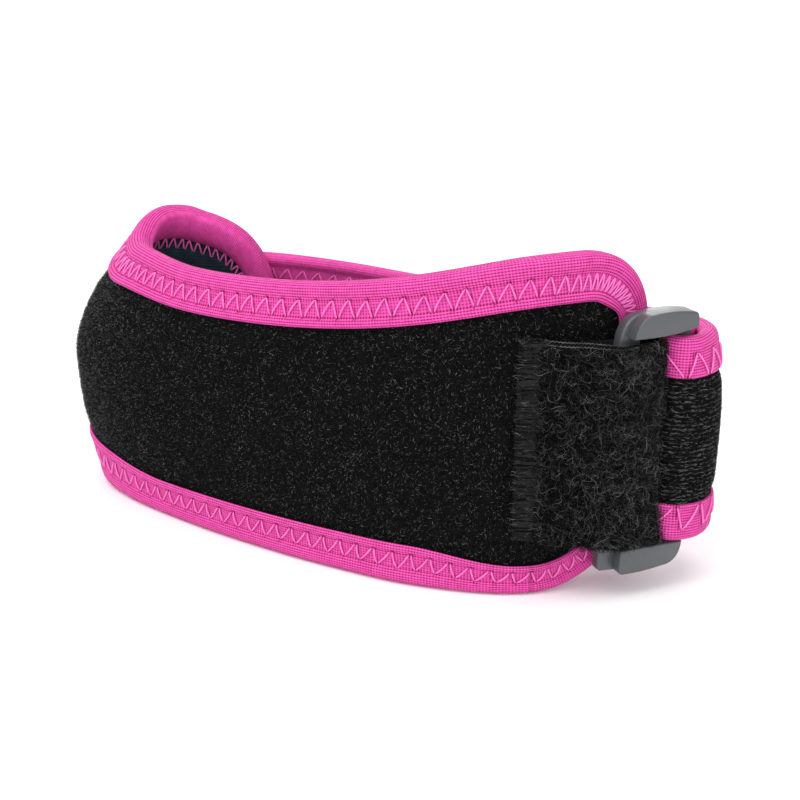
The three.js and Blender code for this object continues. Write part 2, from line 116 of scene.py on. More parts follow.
def plan_line(columns, rows):
    """A smooth line through the rows' x and y, with the other columns carried along it."""
    table = np.array(rows, float)
    ends = np.vstack([2 * table[0] - table[1], table, 2 * table[-1] - table[-2]])
    gaps = np.linalg.norm(np.diff(ends[:, :2], axis=0), axis=1) ** 0.5

    def place(t):
        i = np.clip(t.astype(int), 0, len(table) - 2)
        w = (t - i)[:, None]
        p0, p1, p2, p3 = (ends[i + k] for k in range(4))
        d0, d1, d2 = (gaps[i + k][:, None] for k in range(3))
        leave = ((p1 - p0) / d0 - (p2 - p0) / (d0 + d1) + (p2 - p1) / d1) * d1
        arrive = ((p2 - p1) / d1 - (p3 - p1) / (d1 + d2) + (p3 - p2) / d2) * d1
        leave[:, 2:] = (p2 - p0)[:, 2:] / 2
        arrive[:, 2:] = (p3 - p1)[:, 2:] / 2
        cube = 2 * p1 - 2 * p2 + leave + arrive
        square = 3 * p2 - 3 * p1 - 2 * leave - arrive
        return p1 + w * (leave + w * (square + w * cube)), leave + w * (2 * square + 3 * w * cube)

    steps = np.linspace(0, len(table) - 1, PLAN_STEPS * (len(table) - 1) + 1)
    lengths = gone_along(place(steps)[0][:, :2])

    def at(s):
        values, slope = place(np.interp(np.ravel(s), lengths, steps))
        along = unit(slope[:, :2])
        here = {name: values[:, k].reshape(np.shape(s)) for k, name in enumerate(columns)}
        here["along"] = along.reshape(np.shape(s) + (2,))
        here["outward"] = np.stack([-along[:, 1], along[:, 0]], axis=1).reshape(np.shape(s) + (2,))
        return here

    return {"length": lengths[-1], "at": at}


def wall_points(wall, s, z, out):
    """Points of a standing wall in metres: s along its plan, z up, and out from its middle layer."""
    s, z, out = np.broadcast_arrays(*(np.asarray(value, float) for value in (s, z, out)))
    here = wall["plan"]["at"](s)
    reach = (z - wall["middle"]) / wall["half"]
    outward = here["outward"]
    base = np.stack([here["x"], here["y"]], axis=-1)
    if "top" in here:
        tall = here["top"] - wall["middle"]
        share = np.maximum(z - wall["middle"], 0) / tall
        shift = np.stack([here["top_x"], here["top_y"]], axis=-1) - base
        base = base + shift * (share**TOP_POWER)[..., None]
        slope = -(shift * outward).sum(axis=-1) * TOP_POWER * share ** (TOP_POWER - 1) / tall
        lean = here["lean_foot"] * np.maximum(-reach, 0) ** LEAN_POWER
    else:
        lean = np.where(reach > 0, here["lean_top"], here["lean_foot"]) * np.abs(reach) ** LEAN_POWER
        slope = here["lean_top"] * LEAN_POWER * np.maximum(reach, 0) ** (LEAN_POWER - 1) / wall["half"]
    level = 1 / np.sqrt(1 + slope**2)
    plan = base + outward * (out * level - lean)[..., None]
    height = z + out * slope * level
    if "rise" in wall:
        height = height + wall["rise"](s)
    return np.concatenate([plan, height[..., None]], axis=-1) * MM


def grid_faces(rows, columns, wrap_rows=False, wrap_columns=False):
    """Quads over a grid of points, row by row."""
    i = np.arange(rows if wrap_rows else rows - 1)[:, None]
    j = np.arange(columns if wrap_columns else columns - 1)[None, :]
    here, there = i * columns, (i + 1) % rows * columns
    k = (j + 1) % columns
    return np.stack([here + j, here + k, there + k, there + j], axis=-1).reshape(-1, 4)


def set_out(name, data):
    """A new object in the scene."""
    thing = bpy.data.objects.new(name, data)
    bpy.context.collection.objects.link(thing)
    return thing


def made_of(name, points, faces, materials, which=None, uv=None, tone=None):
    """A smooth mesh object that rides on the strap, from arrays of points in metres and quads.
    tone says how pale a strand is, which on pile fibres is a painted glint, or how much painted shade a place
    in the cloth has, from 0 to 1."""

    def fill(data, key, values, kind=np.float32):
        data.foreach_set(key, np.ascontiguousarray(values, kind).ravel())

    mesh = bpy.data.meshes.new(name)
    mesh.vertices.add(points.size // 3)
    mesh.loops.add(faces.size)
    mesh.polygons.add(len(faces))
    fill(mesh.vertices, "co", points)
    fill(mesh.loops, "vertex_index", faces, np.int32)
    fill(mesh.polygons, "loop_start", np.arange(0, faces.size, faces.shape[1]), np.int32)
    fill(mesh.polygons, "use_smooth", np.ones(len(faces)), bool)
    for material in materials:
        mesh.materials.append(material)
    if which is not None:
        fill(mesh.polygons, "material_index", which, np.int32)
    if uv is not None:
        fill(mesh.uv_layers.new(name="cloth").data, "uv", uv[faces.ravel()])
    if tone is not None:
        fill(mesh.attributes.new("tone", "FLOAT", "POINT").data, "value", tone)
    mesh.update(calc_edges=True)
    piece = set_out(name, mesh)
    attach(piece, "root")
    return piece


def finish_nodes(name, **settings):
    """A new material with its surface shader's plain settings filled in."""
    material = bpy.data.materials.new(name)
    material.use_nodes = True
    tree = material.node_tree
    shader = tree.nodes["Principled BSDF"]
    for socket, value in settings.items():
        shader.inputs[socket.replace("_", " ")].default_value = value
    return material, tree, shader


def add_node(tree, kind, inputs=None, **settings):
    """A node with its settings, its inputs given as values or as other nodes' outputs."""
    node = tree.nodes.new(kind)
    for key, value in settings.items():
        setattr(node, key, value)
    for key, value in (inputs or {}).items():
        if isinstance(value, bpy.types.NodeSocket):
            tree.links.new(value, node.inputs[key])
        else:
            node.inputs[key].default_value = value
    return node


def between(tree, shader, share, low, high):
    """Base colour that goes from one colour to another as share goes between low's and high's place."""
    ramp = add_node(tree, "ShaderNodeValToRGB", {"Fac": share})
    for element, (place, colour) in zip(ramp.color_ramp.elements, (low, high)):
        element.position = place
        element.color = (*colour, 1)
    tree.links.new(ramp.outputs["Color"], shader.inputs["Base Color"])


def mottled(tree, shader, dark, light, size):
    """Base colour that drifts between two colours over patches of the given size in metres."""
    place = add_node(tree, "ShaderNodeTexCoord").outputs["Object"]
    noise = add_node(tree, "ShaderNodeTexNoise", {"Vector": place, "Scale": 1 / size, "Detail": 3.0})
    between(tree, shader, noise.outputs["Fac"], (0.3, dark), (0.7, light))
    return place


def bumped(tree, shader, height, depth):
    """Fine relief of the given depth in metres."""
    bump = add_node(tree, "ShaderNodeBump", {"Height": height, "Strength": 1.0, "Distance": depth})
    tree.links.new(bump.outputs["Normal"], shader.inputs["Normal"])


def grained(name, dark, light, patch, texture, relief, bands=None, **settings):
    """A mottled finish with fine relief: rows or plies where bands gives their direction, or else grain."""
    material, tree, shader = finish_nodes(name, **settings)
    place = mottled(tree, shader, dark, light, patch)
    if bands:
        grain = add_node(tree, "ShaderNodeTexWave", {"Vector": place, **texture}, bands_direction=bands)
    else:
        grain = add_node(tree, "ShaderNodeTexNoise", {"Vector": place, **texture})
    bumped(tree, shader, grain.outputs["Fac"], relief)
    return material


def pile_ground():
    return grained("pile_ground", (0.002, 0.002, 0.0021), (0.006, 0.006, 0.0062), patch=0.0012,
                   texture={"Scale": 1900.0, "Detail": 4.0}, relief=0.0005,
                   Roughness=1.0, Specular_IOR_Level=0.06)


def lining_knit():
    return grained("lining", (0.018, 0.034, 0.046), (0.030, 0.052, 0.068), patch=0.004,
                   texture={"Scale": 330.0, "Distortion": 1.5}, relief=0.00012, bands="Z",
                   Roughness=0.9, Specular_IOR_Level=0.1)


def pile_fibre(name, dark, light, gloss):
    """Fibres that are each dark or pale all along, as their tone says; the pale ones are painted glints on
    black fibres.
    """
    material, tree, shader = finish_nodes(
        name, Roughness=gloss, Specular_IOR_Level=0.06, Sheen_Weight=0.02, Sheen_Roughness=0.4)
    tone = add_node(tree, "ShaderNodeAttribute", attribute_name="tone")
    between(tree, shader, tone.outputs["Fac"], (0, dark), (1, light))
    return material


def smooth_step(low, high, value):
    t = np.clip((value - low) / (high - low), 0, 1)
    return t * t * (3 - 2 * t)


PANEL_PLAN = plan_line(PANEL_COLUMNS, PANEL_ROWS)
PANEL_WALL = {"plan": PANEL_PLAN, "middle": PANEL_MIDDLE, "half": PANEL_MIDDLE}
PANEL_LENGTH = PANEL_PLAN["length"]


def cover_share(s, z):
    """How much of its full width the binding covers: it is pulled narrow down the right end and its foot,
    and spreads round the foot of the left turn."""
    low = 1 - smooth_step(*LOW_UP, z)
    foot = (1 - smooth_step(*FOOT_ALONG, s)) * low
    end = (1 - smooth_step(*END_ALONG, s)) * (1 - smooth_step(*END_UP, z))
    turn = smooth_step(*TURN_COMES, s) * (1 - smooth_step(*TURN_GOES, s)) * low
    return 1 - FOOT_NARROWER * foot - END_NARROWER * end * (1 - foot) + TURN_WIDER * turn


def from_panel_edge(s, z):
    """How far in from the panel's rounded outline a place on it lies."""
    near_right = s < PANEL_LENGTH / 2
    beside = np.minimum(s, PANEL_LENGTH - s)
    inward = beside
    for radius, below in (
        (np.where(near_right, PANEL_FOOT_CORNER, PANEL_LEFT_CORNER), z),
        (np.where(near_right, PANEL_RIGHT_CORNER, PANEL_LEFT_CORNER), PANEL_PLAN["at"](s)["top"] - z),
    ):
        corner = radius - np.hypot(radius - below, radius - beside)
        here = np.where((below < radius) & (beside < radius), corner, np.minimum(below, beside))
        inward = np.minimum(inward, here)
    return inward


def panel_out(s, z):
    """Half thickness of the panel outside its middle layer: thin under the binding, then crowned."""
    past_lip = from_panel_edge(s, z) - PANEL_COVER_OUTSIDE * cover_share(s, z)
    return PANEL_HALF_EDGE + PANEL_SWELL * smooth_step(*CROWN_OUTSIDE, past_lip)


def panel_in(s, z):
    """The same inside its middle layer."""
    past_lip = from_panel_edge(s, z) - PANEL_COVER_INSIDE
    return PANEL_HALF_EDGE + PANEL_SWELL * smooth_step(*CROWN_INSIDE, past_lip)


def padded_body(name, wall, s, low, high, layers, out, inside, materials):
    """A closed padded wall: its outer face and its lining meet along both edges and both ends."""
    share = np.linspace(0, 1, layers)[None, :]
    s = s[:, None]
    z = low[:, None] + (high - low)[:, None] * share
    outer = wall_points(wall, s, z, out(s + 0 * z, z))
    inner = wall_points(wall, s, z, -inside(s + 0 * z, z))
    points = np.concatenate([outer, inner[:, ::-1]], axis=1)
    count = 2 * layers
    faces = grid_faces(len(s), count, wrap_columns=True)
    which = np.tile(np.arange(count) >= layers - 1, len(s) - 1)
    j = np.arange(layers - 1)
    cap = np.stack([j, count - 1 - j, count - 2 - j, j + 1], axis=1)
    far_cap = cap[:, ::-1] + (len(s) - 1) * count
    faces = np.concatenate([faces, cap, far_cap])
    which = np.concatenate([which, np.ones(2 * len(cap), bool)])
    return made_of(name, points, faces, materials, which)


def panel_body():
    left_turn = PANEL_LEFT_CORNER - PANEL_INSET
    turn = np.linspace(0, math.pi / 2, CORNER_STEPS)[:-1]
    right = PANEL_INSET + (PANEL_FOOT_CORNER - PANEL_INSET) * (1 - np.cos(turn))
    middle = np.arange(PANEL_FOOT_CORNER, PANEL_LENGTH - PANEL_LEFT_CORNER, PANEL_STEP)
    left = PANEL_LENGTH - PANEL_INSET - left_turn * (1 - np.cos(turn[::2]))
    s = np.concatenate([right, middle, left[::-1]])
    to_end = np.minimum(s, PANEL_LENGTH - s) - PANEL_INSET

    def rise(right_corner):
        bend = np.where(s < PANEL_LENGTH / 2, right_corner - PANEL_INSET, left_turn)
        return bend - np.sqrt(np.maximum(0, bend**2 - np.maximum(0, bend - to_end) ** 2))

    low = PANEL_INSET + rise(PANEL_FOOT_CORNER)
    high = PANEL_PLAN["at"](s)["top"] - PANEL_INSET - rise(PANEL_RIGHT_CORNER)
    return padded_body("panel_body", PANEL_WALL, s, low, high, PANEL_LAYERS, panel_out, panel_in,
                       [pile_ground(), lining_knit()])


def surface_frame(wall, s, z, out):
    """Places on a wall, with their directions along it, up it and out of it."""
    step = 0.2
    along = unit(wall_points(wall, s + step, z, out) - wall_points(wall, s - step, z, out))
    up = wall_points(wall, s, z + step, out) - wall_points(wall, s, z - step, out)
    out_of = unit(np.cross(up, along))
    return wall_points(wall, s, z, out), along, np.cross(along, out_of), out_of


def fibre_field(name, ground, draw, length, lift, width, curl, segments, material, pale, level=1.0):
    """Fibres of pile over a piece of cloth, each a thin ribbon arched with both ends in the cloth, or with
    one free end where it has a single segment.
    Most are dark: the higher pale is, the fewer are pale, and the pale ones are painted glints. A low level
    lays them along the cloth."""
    root, along, up, out_of = ground
    count = len(root)
    turn = draw.uniform(0, 2 * math.pi, count)
    roll = draw.uniform(-FIBRE_ROLL, FIBRE_ROLL, count)
    long = draw.uniform(*length, count) * MM
    high = draw.uniform(*lift, count) * MM
    wide = draw.uniform(*width, count) * MM / 2
    swing = draw.uniform(-curl, curl, count) * long
    phase = draw.uniform(0, math.pi, count)
    tone = draw.uniform(0, 1, count) ** pale
    heading = np.cos(turn)[:, None] * along + level * np.sin(turn)[:, None] * up
    aside = np.cross(out_of, heading)
    t = np.linspace(0, 1, segments + 1)[None, :, None]
    middle = root[:, None] + heading[:, None] * long[:, None, None] * (t - 0.5)
    rise = 4 * t * (1 - t) if segments > 1 else t
    middle = middle + out_of[:, None] * (high[:, None, None] * rise - FIBRE_SUNK * MM)
    middle = middle + aside[:, None] * swing[:, None, None] * np.sin(2 * math.pi * t + phase[:, None, None])
    flat = np.cos(roll)[:, None] * aside + np.sin(roll)[:, None] * out_of
    half = flat[:, None] * wide[:, None, None] * (1 - FIBRE_TAPER * np.abs(2 * t - 1))
    points = np.stack([middle - half, middle + half], axis=2)
    strip = grid_faces(segments + 1, 2)
    faces = (np.arange(count) * 2 * (segments + 1))[:, None, None] + strip[None]
    return made_of(name, points, faces.reshape(-1, 4), [material], tone=np.repeat(tone, 2 * (segments + 1)))


def panel_pile(name, seed, count, length, lift, width, segments, pale):
    draw = np.random.default_rng(seed)
    s = draw.uniform(PILE_START, PANEL_LENGTH - PANEL_COVER_OUTSIDE, 2 * count)
    z = draw.uniform(*PILE_UP, 2 * count)
    kept = from_panel_edge(s, z) > PANEL_COVER_OUTSIDE * cover_share(s, z) + PILE_CLEAR
    s, z = s[kept][:count], z[kept][:count]
    ground = surface_frame(PANEL_WALL, s, z, panel_out(s, z))
    # More pale fibres round the left turn: painted light.
    painted_lit = pale * (1 - LIT_PALER * smooth_step(*LIT_PALER_ALONG, s))
    return fibre_field(name, ground, draw, length, lift, width, PILE_CURL, segments, PILE_FIBRE, painted_lit)


PANEL = panel_body()
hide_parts("front_panel")
# Pale pile fibres are painted glints: this material's pale colour stands in for glints on black fibres.
PILE_FIBRE = pile_fibre("pile_fibre", (0.0012, 0.0012, 0.0013), (0.14, 0.14, 0.141), 0.5)
for row in PANEL_PILES:
    panel_pile(*row)

# Panel binding: pink elastic knit tape, folded over the panel's whole edge and sewn through with a
# zigzag in pink thread. Its folded edge is a ribbed roll outside and a smooth one inside, and its lip
# lies flat on the pile.
BINDING_HALF_EDGE = 1.82
RIB_PITCH = 0.64
RIB_STEPS = 3
RIB_HEIGHT = 0.09
PLAIN_STEP = 0.5
# Painted shade in the knit's colour, from 0 to 1: a base on plain cloth, more in rib valleys, and on the part
# back under the fold.
PLAIN_SHADE = 0.35
VALLEY_SHADE = 0.65
UNDER_SHADE = 0.5
COURSE_PITCH = 0.7
COURSE_SHARE = 0.35
CLOTH_STEP = 0.75
OUTLINE_EASE = (3, 14)
WING_ALONG = (60, 40)
WING_UP = (30, 50)
# One stitch: its legs, the dents that they pull in the cloth, and the painted shade in its needle holes and
# beside it.
STITCH_PITCH = 4.5
STITCH_PEAK = 0.62
STITCH_END = 0.86
STITCH_TOP = 4.3
STITCH_FOOT = 8.0
STITCH_PULL = 0.2
NEEDLE_PULL = 0.45
STITCH_MARGIN = 0.4
STITCHED_OUT = 0.3
LEG_DENT = 0.42
NEEDLE_ASIDE = 0.04
NEEDLE_DENT = 0.5
SHADE_DEPTH = 0.75
SHADE_ASIDE = 0.45
SHADE_WIDTH = 0.3
STITCH_POINTS = 9
STITCH_WANDER = 0.1
STITCH_ARCH = 0.34
STITCH_FULL = 0.6
STITCH_SUNK = 0.2
PEAK_WIDTH = 0.2
RISING_BOW = -0.22
FALLING_BOW = 0.1
THREAD_RADIUS = 0.23
THREAD_SIDES = 5
THREAD_TIP = 0.5
# The stitches crowd round the top right corner.
CROWDED = 1.2
CROWDED_ALONG = (8, 30)
CROWDED_UP = (46, 62)
# Each seam's side of the cloth, by name and sign, its top and foot in from the edge, and its lift.
PANEL_SEAM_ROWS = [
    ("outside", 1, STITCH_TOP, STITCH_FOOT, 0.72),
    ("inside", -1, 7.0, 10.4, 0.55),
]


def smoothed(rows, step):
    """Evenly spaced places on a smooth line through a few rows of (inward, out)."""
    line = plan_line(("x", "y"), rows)
    count = max(2, round(line["length"] / step) + 1)
    here = line["at"](np.linspace(0, line["length"], count))
    return np.stack([here["x"], here["y"]], axis=1), here["outward"]


def folded_section(parts, under):
    """Section of a folded binding from its parts, each with the share of full ribs it has, and the plain line
    back under it. Gives the places (inward, out), how far round the cloth each is, and how much painted shade
    each has, deepest between ribs."""
    places, valleys = [], []
    for rows, ribbed in parts:
        line, side = smoothed(rows, RIB_PITCH / RIB_STEPS if ribbed else PLAIN_STEP)
        rib = np.abs(np.sin(math.pi * np.arange(len(line)) / RIB_STEPS))
        places.append((line + side * RIB_HEIGHT * ribbed * rib[:, None])[:-1])
        valleys.append((PLAIN_SHADE + ribbed * (VALLEY_SHADE - rib))[:-1])
    cloth = np.concatenate(places)
    cloth[:, 0] = np.maximum(cloth[:, 0], 0)
    places = np.concatenate([cloth, np.array(under, float)])
    valleys = np.concatenate([*valleys, np.full(len(under), UNDER_SHADE)])
    return places, gone_along(places), valleys


def panel_section():
    """Rows of (inward, out), from the lip on the pile round the edge to the lining and back under."""
    k, j, e = PANEL_COVER_OUTSIDE, PANEL_COVER_INSIDE, BINDING_HALF_EDGE
    lip = [
        (k, e), (k + 0.35, e + 0.4), (k + 0.1, e + 0.9), (k - 0.7, e + 1.15), (k - 1.6, e + 0.95),
        (k - 2.1, e + 0.65),
    ]
    channel = [(k - 2.1, e + 0.65), (k - 4, e + 0.56), (k - 5.8, e + 0.68)]
    roll = [
        (k - 5.8, e + 0.68), (k - 6.5, e + 1.0), (k - 7.7, e + 1.22), (k - 9.0, e + 0.9),
        (k - 9.75, e + 0.05), (0, e * 0.45), (0, -e * 0.45),
    ]
    turned_in = [
        (0, -e * 0.45), (0.2, -e - 0.2), (1.1, -e - 1.1), (2.6, -e - 1.75), (4.4, -e - 1.95), (6, -e - 1.5),
        (j - 0.9, -e - 0.7), (j - 0.5, -e - 0.2), (j - 0.4, -e),
    ]
    under = [(j - 1.4, -e + 0.02), (2, -e + 0.02), (1.3, 0), (2, e - 0.02), (k - 1, e - 0.02)]
    return folded_section([(lip, 1), (channel, 0.5), (roll, 1), (turned_in, 0)], under)


def stitch_marks(q, inward, pitch, top, foot):
    """How deep the thread pulls the cloth in along its legs and needle holes, and the painted shade in the
    holes and beside the falling leg.
    """
    part = q / pitch % 1
    level = np.clip((foot - inward) / (foot - top), 0, 1)
    slanted = np.abs(part - STITCH_PEAK * level) * pitch
    lean = (part - (STITCH_END - (STITCH_END - STITCH_PEAK) * level)) * pitch
    within = (inward > top - STITCH_MARGIN) & (inward < foot + STITCH_MARGIN)
    legs = np.exp(-((np.minimum(slanted, np.abs(lean)) / LEG_DENT) ** 2)) * within
    to_peak = np.hypot((part - STITCH_PEAK - NEEDLE_ASIDE) * pitch, inward - top)
    to_foot = np.hypot((part - STITCH_END) * pitch, inward - foot)
    holes = np.exp(-((np.minimum(to_peak, to_foot) / NEEDLE_DENT) ** 2))
    shade = SHADE_DEPTH * np.exp(-(((lean - SHADE_ASIDE) / SHADE_WIDTH) ** 2)) * within
    return STITCH_PULL * legs + NEEDLE_PULL * holes, np.maximum(shade, holes)


def panel_top(s):
    return PANEL_PLAN["at"](np.asarray(s, float))["top"]


def panel_outline(step):
    """The panel's edge laid flat: s along, v up, the way in from the edge, and the length along it."""
    right, low_right, left = PANEL_RIGHT_CORNER, PANEL_FOOT_CORNER, PANEL_LEFT_CORNER
    far = PANEL_LENGTH - left
    left_top, right_top = float(panel_top([far])[0]) - left, float(panel_top([right])[0]) - right

    def quarter(radius, s, v, start):
        count = round(radius * math.pi / 2 / step)
        turn = start + np.linspace(0, math.pi / 2, count + 1)[:-1]
        across, up = np.cos(turn), np.sin(turn)
        return np.stack([s + radius * across, v + radius * up, -across, -up], axis=1)

    def side(s, start, stop, inward):
        v = np.linspace(start, stop, round(abs(stop - start) / step) + 1)[:-1]
        return np.stack([0 * v + s, v, 0 * v + inward, 0 * v], axis=1)

    foot = np.arange(low_right, far, step)
    head = np.arange(far, right, -step)
    slope = (panel_top(head + 1) - panel_top(head - 1)) / 2
    size = np.hypot(slope, 1)
    rows = np.concatenate([
        np.stack([foot, 0 * foot, 0 * foot, 0 * foot + 1], axis=1),
        quarter(left, far, left, -math.pi / 2),
        side(PANEL_LENGTH, left, left_top, -1),
        quarter(left, far, left_top, 0),
        np.stack([head, panel_top(head), slope / size, -1 / size], axis=1),
        quarter(right, right, right_top, math.pi / 2),
        side(0, right_top, low_right, 1),
        quarter(low_right, low_right, low_right, math.pi),
    ])
    eased, wide = (
        sum(np.roll(rows, k, axis=0) for k in range(-n, n + 1)) / (2 * n + 1) for n in OUTLINE_EASE)
    wing_from, wing_to = (PANEL_LENGTH - before for before in WING_ALONG)
    at_wing = smooth_step(wing_from, wing_to, rows[:, :1]) * smooth_step(*WING_UP, rows[:, 1:2])
    rows = eased + (wide - eased) * at_wing
    rows[:, 2:] = unit(rows[:, 2:])
    return rows, gone_along(rows[:, :2])


def knit(name, dark, light):
    """Fine ribbed knit: dotted rows of painted shade between the ribs, in needle holes and beside stitches,
    which the cloth's own lengths place.
    """
    material, tree, shader = finish_nodes(
        name, Roughness=0.6, Specular_IOR_Level=0.14, Sheen_Weight=0.05, Sheen_Tint=(1, 0.5, 0.8, 1))

    def worked(operation, *terms):
        return add_node(tree, "ShaderNodeMath", dict(enumerate(terms)), operation=operation).outputs[0]

    uv = add_node(tree, "ShaderNodeUVMap", uv_map="cloth")
    split = add_node(tree, "ShaderNodeSeparateXYZ", {"Vector": uv.outputs["UV"]})
    along = worked("MULTIPLY", split.outputs["X"], 2 * math.pi / (COURSE_PITCH * MM))
    dots = worked("MULTIPLY_ADD", worked("SINE", along), COURSE_SHARE, 1 - COURSE_SHARE)
    # The tone attribute is painted shade: rib valleys, needle holes and beside stitches.
    depth = add_node(tree, "ShaderNodeAttribute", attribute_name="tone").outputs["Fac"]
    place = add_node(tree, "ShaderNodeTexCoord").outputs["Object"]
    drift = add_node(tree, "ShaderNodeTexNoise", {"Vector": place, "Scale": 700.0, "Detail": 3.0})
    uneven = worked("MULTIPLY_ADD", drift.outputs["Fac"], 0.4, worked("MULTIPLY", dots, depth))
    between(tree, shader, uneven, (0.24, light), (0.84, dark))
    bumped(tree, shader, worked("MULTIPLY", uneven, -1.0), 0.00012)
    return material


def thread(name, dark, light, gloss):
    """Sewing thread with the fine slant of its plies."""
    return grained(name, dark, light, patch=0.0012, texture={"Scale": 900.0}, relief=0.00005,
                   bands="DIAGONAL", Roughness=gloss, Specular_IOR_Level=0.4)


def tubes(name, paths, normals, radius, sides, material, tone=None):
    """Threads along paths (threads, points, 3), thin at both ends where they go into the cloth."""
    count, points = paths.shape[:2]
    heading = unit(np.gradient(paths, axis=1))
    aside = unit(np.cross(heading, normals))
    above = np.cross(aside, heading)
    turn = np.linspace(0, 2 * math.pi, sides, endpoint=False)
    taper = np.ones(points)
    taper[[0, -1]] = THREAD_TIP
    ring = np.cos(turn)[:, None] * aside[:, :, None] + np.sin(turn)[:, None] * above[:, :, None]
    surface = paths[:, :, None] + ring * (radius * MM * taper)[None, :, None, None]
    faces = grid_faces(points, sides, wrap_columns=True)
    faces = (np.arange(count) * points * sides)[:, None, None] + faces[None]
    tone = None if tone is None else np.repeat(tone, points * sides)
    return made_of(name, surface, faces.reshape(-1, 4), [material], tone=tone)


def thread_paths(place, along, inward, out):
    """Paths of threads on a cloth, and the directions out of it. place gives its points in metres."""
    paths = place(along, inward, out)
    return paths, (place(along, inward, out + 1) - paths) / MM


def zigzag(name, place, length, pitch, top, foot, out):
    """A zigzag seam of two legs a stitch, along a cloth whose points place(q, inward, out) gives."""
    starts = np.arange(0, length - pitch / 2, pitch)
    wander = SEAM_DRAW.normal(0, STITCH_WANDER, (len(starts), 2))
    t = np.linspace(0, 1, STITCH_POINTS)[None, :]
    lift = out + STITCH_ARCH * np.sin(math.pi * t) ** STITCH_FULL - STITCH_SUNK
    peak_q = starts + STITCH_PEAK * pitch + wander[:, 0]
    peak_in = top + wander[:, 1]
    legs = []
    for q0, in0, q1, in1, bow in (
        (starts, foot + 0 * starts, peak_q, peak_in, RISING_BOW),
        (peak_q + PEAK_WIDTH, peak_in, starts + STITCH_END * pitch, foot + 0 * starts, FALLING_BOW),
    ):
        q = q0[:, None] + (q1 - q0)[:, None] * t + bow * np.sin(math.pi * t)
        inward = in0[:, None] + (in1 - in0)[:, None] * t
        legs.append(thread_paths(place, q, inward, lift + 0 * q))
    paths, normals = (np.concatenate(part) for part in zip(*legs))
    seam = tubes(name, paths, normals, THREAD_RADIUS, THREAD_SIDES, PINK_THREAD)
    return seam


def binding_seams(name, place, length, pitch, half_edge, rows):
    """A binding's seam as it shows on each side of the cloth."""
    seams = []
    for side, outward, top, foot, lift in rows:

        def side_place(q, inward, out):
            return place(q, inward, outward * out)

        seams.append(zigzag(f"{name}_zigzag_{side}", side_place, length, pitch, top, foot, half_edge + lift))
    return seams


def binding_cloth(name, section, half_edge, place, at, sewn_at, stitch, loose=1, pull=1, closer=1,
                  closed=False, flipped=False):
    """A tape folded over an edge, with its section at each place along it. sewn_at counts the same places
    along the seam, and stitch is its pitch, top and foot. loose and pull lessen the seam's dents, loose its
    painted shade as well, and closer packs the knit's courses."""
    profile, round_it, valleys = section
    q = at[:, None] + 0 * profile[None, :, 0]
    inward = profile[None, :, 0] + 0 * q
    out = profile[None, :, 1] + 0 * q
    outside = (out > half_edge + STITCHED_OUT) * loose
    dip, dark = stitch_marks(sewn_at[:, None] + 0 * q, inward, *stitch)
    points = place(q, inward, out - pull * dip * outside)
    faces = grid_faces(len(at), len(profile), wrap_rows=closed, wrap_columns=True)
    if flipped:
        faces = faces[:, ::-1]
    uv = np.stack([closer * q, round_it[None, :] + 0 * q], axis=-1).reshape(-1, 2) * MM
    # Painted shade: the section's rib valleys, and the stitches' needle holes and the shade beside them.
    tone = np.maximum(valleys[None, :] + 0 * q, dark * outside)
    cloth = made_of(name, points, faces, [PINK_KNIT], uv=uv, tone=tone)
    return cloth


# The knit's dark colour is painted shade, mixed with random drift.
PINK_KNIT = knit("pink_knit", (0.24, 0.003, 0.06), (0.80, 0.084, 0.415))
PINK_THREAD = thread("pink_thread", (0.86, 0.13, 0.50), (0.93, 0.21, 0.60), 0.42)
SEAM_DRAW = np.random.default_rng(21)
OUTLINE, OUTLINE_AT = panel_outline(CLOTH_STEP)
OUTLINE_LENGTH = OUTLINE_AT[-1] + CLOTH_STEP
CLOSE_SEWN = 1 + CROWDED * (1 - smooth_step(*CROWDED_ALONG, OUTLINE[:, 0])) * smooth_step(
    *CROWDED_UP, OUTLINE[:, 1])
SEWN_AT = np.concatenate([[0], np.cumsum(np.diff(OUTLINE_AT) * CLOSE_SEWN[1:])])
SEWN_LENGTH = SEWN_AT[-1] + CLOTH_STEP
PANEL_STITCH_PITCH = SEWN_LENGTH / round(SEWN_LENGTH / STITCH_PITCH)


def panel_edge_place(q, inward, out):
    """A place on the panel's bound edge: q along the outline, inward from it, and out."""
    laps = np.concatenate([OUTLINE_AT, [OUTLINE_LENGTH]])
    rows = np.concatenate([OUTLINE, OUTLINE[:1]])
    s, v, in_s, in_v = (np.interp(q % OUTLINE_LENGTH, laps, rows[:, k]) for k in range(4))
    inward = inward * cover_share(s, v)
    return wall_points(PANEL_WALL, s + in_s * inward, v + in_v * inward, out)


def panel_sewn_place(sewn, inward, out):
    """The same, with the stitches drawn close together round the top right corner."""
    q = np.interp(sewn % SEWN_LENGTH, np.append(SEWN_AT, SEWN_LENGTH), np.append(OUTLINE_AT, OUTLINE_LENGTH))
    return panel_edge_place(q, inward, out)


PANEL_BINDING = binding_cloth(
    "panel_binding_cloth", panel_section(), BINDING_HALF_EDGE, panel_edge_place, OUTLINE_AT, SEWN_AT,
    (PANEL_STITCH_PITCH, STITCH_TOP, STITCH_FOOT), loose=np.clip(2 - CLOSE_SEWN, 0, 1)[:, None], closed=True)
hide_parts("panel_binding")
PANEL_SEAMS = binding_seams("panel", panel_sewn_place, SEWN_LENGTH, PANEL_STITCH_PITCH, BINDING_HALF_EDGE,
                            PANEL_SEAM_ROWS)

